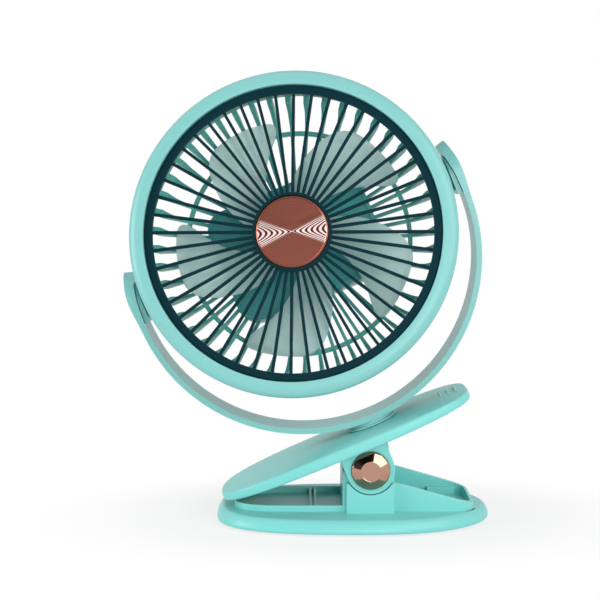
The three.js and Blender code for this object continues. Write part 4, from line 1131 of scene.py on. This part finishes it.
def impeller():
    cup = turned(rounded([
        (0, -13.2), (12.4, -13, 2), (HUB_CUP, -10, 3), (HUB_CUP, 4, 0.4), (15.2, 4, 0.4),
        (15.2, -9), (4, -9), (4, -2), (1.3, -2), (1.3, -12), (0, -12),
    ], closed=False), 96)
    petal = softened(bent_sheet(30, 18, petal_spot), 0.3, 2, angle=60)
    turns = [FIRST_PETAL + 2 * pi * i / PETALS for i in range(PETALS)]
    petals = copies(petal, [Matrix.Rotation(-turn, 4, "Y") for turn in turns])
    inside = turned([(4, -9), (15.2, -9), (15.2, 12), (4, 12)], 64, closed=True)
    return merged(cup, combined(petals, inside))


shown("petal_impeller", impeller(), blade, head_place, "impeller", "blade_plastic", "impeller")

# %% [markdown]
# The rear guard is a basket: a hoop inside the head ring, a middle ring, 48 curved fins and a tub
# in the middle for the motor, battery and board. Each fin is drawn from the side, extruded, widened
# toward the rim, softened and turned to its place. One fin could be copied 48 times, but each has
# to reach just as far as the tub's rounded side.

# %% The tub's outline, and how far out it reaches
BOX_HALF_X, BOX_HALF_Z, BOX_CORNER = 46.0, 33.5, 11.0
TUB_FRONT, PART_Y, COVER_BACK = 13.0, 24.0, 38.0     # tub from 13 to 24, its cover from there to 38


def box_ring(inset, y):
    corner = BOX_CORNER - 0.7 * inset
    x, z = BOX_HALF_X - inset, BOX_HALF_Z - inset
    corners = [(x, z, corner), (-x, z, corner), (-x, -z, corner), (x, -z, corner)]
    return [Vector((a, y, b)) for a, b in rounded(corners, steps=10)]


def boxes(levels):
    return stack([box_ring(inset, y) for inset, y in levels])


def tub_reach(turn):
    across, up = abs(cos(turn)), abs(sin(turn))
    flat = min(BOX_HALF_X / max(across, 1e-6), BOX_HALF_Z / max(up, 1e-6))
    x, z = BOX_HALF_X - BOX_CORNER, BOX_HALF_Z - BOX_CORNER
    if flat * across < x or flat * up < z:
        return flat
    along = across * x + up * z
    return along + sqrt(along ** 2 - x ** 2 - z ** 2 + BOX_CORNER ** 2)


print("tub reaches", round(tub_reach(0), 1), "to the side and", round(tub_reach(pi / 2), 1), "up")

# %% Rear guard
FINS, FIN_HALF = 48, 0.95
SCREWS = [(38.8, 26.3), (-38.8, 26.3), (-38.8, -26.3), (38.8, -26.3)]


def fin(turn):
    end = tub_reach(turn) - 1
    outer = [(end, 21), (63.6, 21, 6), (78, 17.2, 9), (83, 5.6, 12), (83.8, -1, 0.6)]
    inner = [(77, -1, 0.6), (74, 8.4, 14), (68.6, 16, 6), (63.6, 17.2, 3), (end, 17.2)]
    part = slab(rounded(outer + inner, steps=4), -FIN_HALF, FIN_HALF)
    for vert in part.verts:
        flare = min(1, max(0, (vert.co.x - 68) / 12))
        vert.co.y *= 1 + 0.8 * flare * flare
    on_edge = Matrix.Rotation(-turn, 4, "Y") @ Matrix.Rotation(-pi / 2, 4, "X") @ MIRROR_Y
    return moved(softened(part, 0.4, 2, 60), on_edge)


def at_screws(part):
    return copies(part, [Matrix.Translation((x, 0, z)) for x, z in SCREWS])


def rear_tub():
    front = TUB_FRONT
    outside = boxes([(2, PART_Y), (0.3, PART_Y), (0, PART_Y - 0.3), (0, front + 1.2),
                     (0.35, front + 0.35), (1.2, front), (2.4, front), (2.7, front + 0.8),
                     (4, front + 0.8)])
    shell = combined(outside, boxes([(2, PART_Y + 1), (2, front + 2)]))
    post = turned([(1.1, front + 1.5), (3.4, front + 1.5), (3.4, PART_Y), (1.1, PART_Y)], 32,
                  closed=True)
    return merged(combined(shell, rod(13, 5, 20, 96)), at_screws(post))


def rear_guard():
    hoop = turned(rounded([
        (82, -2.2, 0.4), (84.5, -2.2, 0.4), (84.5, -0.4), (83.8, 3.2, 0.4), (82, 3.2, 0.4),
    ]), BIG_STEPS, closed=True)
    ring = turned(rounded([
        (62.6, 17.3, 0.6), (65.2, 17.3, 0.6), (65.2, 20.5, 0.6), (62.6, 20.5, 0.6),
    ]), 160, closed=True)
    fins = [fin(2 * pi * (i + 0.5) / FINS) for i in range(FINS)]
    return merged(hoop, ring, rear_tub(), *fins)


shown("fin_guard", rear_guard(), mint_painted_shade, head_place, "head", "mint_plastic", "rear_guard")

# %% [markdown]
# The rear cover closes the tub. It is a soft lid, stacked from rounded rectangles, because their
# insets draw the roll of its edge. It is then cut through for five air slots, the button, the charge
# light, the inlet socket and four deep screw seats. All cuts are merged first, so that one boolean
# makes them.

# %% Rear cover
BUTTON_SPOT, LIGHT_SPOT = (0, 0, 14), (13, 0, 14)
SLOT_LONG, SLOT_HALF, SLOT_STEP, SLOT_MIDDLE = 9, 0.8, 3.4, -14


def rear_cover():
    back, seam = COVER_BACK, PART_Y
    outside = boxes([(6, back), (4.6, back - 0.02), (3.4, back - 0.3), (2.2, back - 0.95),
                     (1.2, back - 2), (0.5, back - 3.5), (0.1, back - 5.4), (0, back - 7),
                     (0, seam + 0.6), (0.3, seam + 0.3), (0.8, seam + 0.3)])
    shell = combined(outside, boxes([(4.6, back - 2), (2, back - 6), (2, seam - 1)]))
    shell = combined(shell, at_screws(rod(3.4, seam + 0.3, back - 1.2, 32)), "UNION")
    corners = ((-SLOT_LONG, -SLOT_HALF), (SLOT_LONG, -SLOT_HALF), (SLOT_LONG, SLOT_HALF),
               (-SLOT_LONG, SLOT_HALF))
    slot = rounded([(x, z, SLOT_HALF - 0.01) for x, z in corners])
    tools = [shifted(slab(slot, back - 5, back + 2), 0, 0, SLOT_MIDDLE + SLOT_STEP * i)
             for i in range(-2, 3)]
    tools += [at_screws(rod(1.5, seam - 1, back - 3.5, 24)),
              at_screws(rod(2.9, back - 4, back + 1, 32)),
              shifted(rod(6.3, back - 5, back + 1, 64), *BUTTON_SPOT),
              shifted(rod(1.8, back - 5, back + 1, 32), *LIGHT_SPOT),
              block(-4.9, 4.9, 27.65, 31.65, 27.5, 35.5, 0.9, 4)]
    return combined(shell, merged(*tools))


shown("tub_cover", rear_cover(), mint, head_place, "head", "mint_plastic", "rear_cover")

# %% [markdown]
# The button has a dished top for a fingertip, the light is a small domed lens beside it, and four
# screws with a cross slot hold the cover. All are turnings, and the cross is cut with two blocks.
# A button's edge is where a finger rubs, so its radius is larger than the others.

# %% Button and light of the cover
button = turned(rounded([
    (0, 34.8), (6.9, 34.8), (6.9, 35.7), (6, 35.7), (6, 39, 0.7), (3.4, 38.75, 1), (0, 38.5),
], closed=False), 96)
shown("round_button", shifted(button, *BUTTON_SPOT), mint, head_place, "button", "mint_plastic",
      "power_button")

light = turned(rounded([
    (0, 34.8), (2.4, 34.8), (2.4, 35.7), (1.5, 35.7), (1.5, 37.9, 0.3), (0, 38.2),
], closed=False), 48)
shown("charge_light", shifted(light, *LIGHT_SPOT), lens, head_place, "head", "lens_plastic",
      "light_lens")

# %% Cross-head screws of the cover
def cover_screw():
    screw = turned(rounded([
        (0, 36), (1.9, 36, 0.4), (2.6, 35.4, 0.2), (2.6, 34.1), (0.8, 34.1), (0.8, 18), (0, 18),
    ], closed=False), 48)
    cross = merged(block(-1.4, 1.4, 35.1, 38, -0.35, 0.35), block(-0.35, 0.35, 35.1, 38, -1.4, 1.4))
    return combined(screw, cross)


for number, (x, z) in enumerate(SCREWS, 1):
    shown(f"cross_screw_{number}", shifted(cover_screw(), x, 0, z), steel, head_place, "head",
          "steel", f"cover_screw_{number}")

# %% [markdown]
# Pieces that stay hidden inside keep their CAD solids. They still get real finishes, because they
# show through the grille and the slots. A CAD node's material slots are replaced one by one.

# %% Finishes of the CAD solids that stay
CAD_FINISH = {
    steel: ("hinge_pin", "swivel_washer", "swivel_screw", "motor_can", "motor_shaft",
            "charging_socket", "hinge_spring", "pivot_pin_left", "pivot_pin_right", "cover_screw_1",
            "cover_screw_2", "cover_screw_3", "cover_screw_4"),
    wrap: ("battery",),
    board: ("circuit_board",),
    lens: ("light_lens",),
    rubber: ("foot_front_left", "foot_front_right", "foot_back_left", "foot_back_right",
             "jaw_grip_pad"),
    mint: ("base_shell", "upper_jaw", "yoke", "pivot_pad_right", "pivot_pad_left", "head_ring",
           "rear_guard", "rear_cover", "power_button"),
    teal: ("front_grille",),
    blade: ("impeller",),
    rose_cap: ("pin_cap_front", "pin_cap_back"),
    rose_disc: ("centre_disc",),
}
for finish, names in CAD_FINISH.items():
    for name in names:
        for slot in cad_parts[name].material_slots:
            slot.link = "DATA"
            slot.material = finish
print("finished", sum(len(names) for names in CAD_FINISH.values()), "CAD solids")

# %% [markdown]
# The photograph has a white background and one soft shadow. The floor is a real pale plane that
# takes the shadow. White is laid over it for the camera, for mirrors and for glass alone, through
# Light Path, so no light is added to the fan.

# %% Helpers for the stage
def seen_only(tree):
    ray = node(tree, "ShaderNodeLightPath").outputs
    seen = calc(tree, "MAXIMUM", ray["Is Camera Ray"], ray["Is Glossy Ray"])
    return calc(tree, "MAXIMUM", seen, ray["Is Transmission Ray"])


def stage_object(name, part, grey, roughness):
    mesh = bpy.data.meshes.new(name)
    part.to_mesh(mesh)
    part.free()
    made = bpy.data.objects.new(name, mesh)
    bpy.context.scene.collection.objects.link(made)
    material, tree, shader = principled(name + "_finish")
    shader.inputs["Base Color"].default_value = (grey, grey, grey, 1)
    shader.inputs["Roughness"].default_value = roughness
    shader.inputs["Specular IOR Level"].default_value = 0.0
    mesh.materials.append(material)
    return made, tree, shader


print("stage helpers are seen_only and stage_object")

# %% Floor
NEAR_WHITE = 0.75                           # share of the floor by the base that is already white
WHITE_FROM, WHITE_TO = 0.050, 0.125         # metres from the base, where it grows to full white
SHADOW_MIDDLE, SHADOW_SHAPE = (-0.017, 0, 0), (0.64, 1, 1)


def stage_floor():
    part = bmesh.new()
    bmesh.ops.create_grid(part, x_segments=1, y_segments=1, size=6)
    floor, tree, shader = stage_object("floor", part, 0.93, 0.9)
    spot = node(tree, "ShaderNodeMapping", {
        "Vector": object_place(tree), "Location": SHADOW_MIDDLE, "Scale": SHADOW_SHAPE,
    }, vector_type="POINT").outputs[0]
    far = node(tree, "ShaderNodeMapRange", {
        "Value": length_of(tree, spot), "From Min": WHITE_FROM, "From Max": WHITE_TO,
    }, interpolation_type="SMOOTHSTEP").outputs["Result"]
    white = calc(tree, "MULTIPLY_ADD", far, 1 - NEAR_WHITE, NEAR_WHITE)
    glow = node(tree, "ShaderNodeEmission", {"Color": (1, 1, 1, 1), "Strength": 1.0})
    both = node(tree, "ShaderNodeMixShader", {
        0: calc(tree, "MULTIPLY", white, seen_only(tree)), 1: shader.outputs[0], 2: glow.outputs[0],
    })
    tree.links.new(both.outputs[0], tree.nodes["Material Output"].inputs["Surface"])
    return floor


print("floor size", tuple(round(v, 1) for v in stage_floor().dimensions))

# %% White surroundings
WORLD_LEVEL = 0.41                          # what lights the object; the camera sees full white


def white_world():
    world = bpy.data.worlds.new("studio")
    bpy.context.scene.world = world
    world.use_nodes = True
    tree = world.node_tree
    background = tree.nodes["Background"]
    level = calc(tree, "MULTIPLY_ADD", seen_only(tree), 1 - WORLD_LEVEL, WORLD_LEVEL)
    tree.links.new(level, background.inputs["Strength"])
    background.inputs["Color"].default_value = (1, 1, 1, 1)


white_world()
print("world level", WORLD_LEVEL)

# %% [markdown]
# Three large square lamps light the fan: a key from the front right, a side lamp from the left and a
# weak one near the lens. A large lamp close by gives a soft edge to every shadow, as a cloth box in a
# studio does. Together with the world they light a colour about as it is written.

# %% Soft studio lamps
LAMPS_AIM = Vector((0, 0, 0.13))
LAMPS = {"key": ((1.0, -1.02, 0.83), 1.1, 11.5), "side": ((-1.5, -0.6, 0.42), 0.8, 12),
         "front": ((0.35, -1.7, 0.27), 0.5, 6)}     # place and size in metres, and watts

for name, (place, size, watts) in LAMPS.items():
    data = bpy.data.lights.new(name, "AREA")
    data.shape, data.size, data.energy = "SQUARE", size, watts
    lamp = bpy.data.objects.new(name, data)
    lamp.location = place
    lamp.rotation_euler = (LAMPS_AIM - Vector(place)).to_track_quat("-Z", "Y").to_euler()
    bpy.context.scene.collection.objects.link(lamp)
print("lamps", [lamp.name for lamp in bpy.data.lights])

# %% [markdown]
# Polished metal needs something dark to mirror, or it looks like paint. A black card is bent to an
# arc round the line from pin to lens, up to the left, where the cone of the cap looks. Only
# reflections show it, so it takes no light from the floor or from the plastic.

# %% Black card
CARD_ANGLES = (radians(43), radians(64))    # off the line to the lens, seen from the pin
CARD_START, CARD_TURN = radians(71), radians(-116)
CARD_MIDDLE = (PIN_X, -34, PIN_Z)


def dark_card():
    part = bmesh.new()
    ends = [part.verts.new((cos(CARD_START) * sin(t), -cos(t), sin(CARD_START) * sin(t)))
            for t in CARD_ANGLES]
    bmesh.ops.spin(part, geom=ends + [part.edges.new(ends)], cent=(0, 0, 0), axis=(0, 1, 0),
                   dvec=(0, 0, 0), angle=CARD_TURN, steps=32)
    card, _, _ = stage_object("dark_card", part, 0.01, 1.0)
    card.location = base_place @ Vector(CARD_MIDDLE)
    card.visible_camera = card.visible_diffuse = False
    card.visible_shadow = card.visible_transmission = False
    return card


print("card hangs round", tuple(round(v, 3) for v in dark_card().location))

# %% [markdown]
# The Standard view shows a colour as it is written.

# %% The colour view, and the end
view_settings = bpy.context.scene.view_settings
view_settings.view_transform = "Standard"
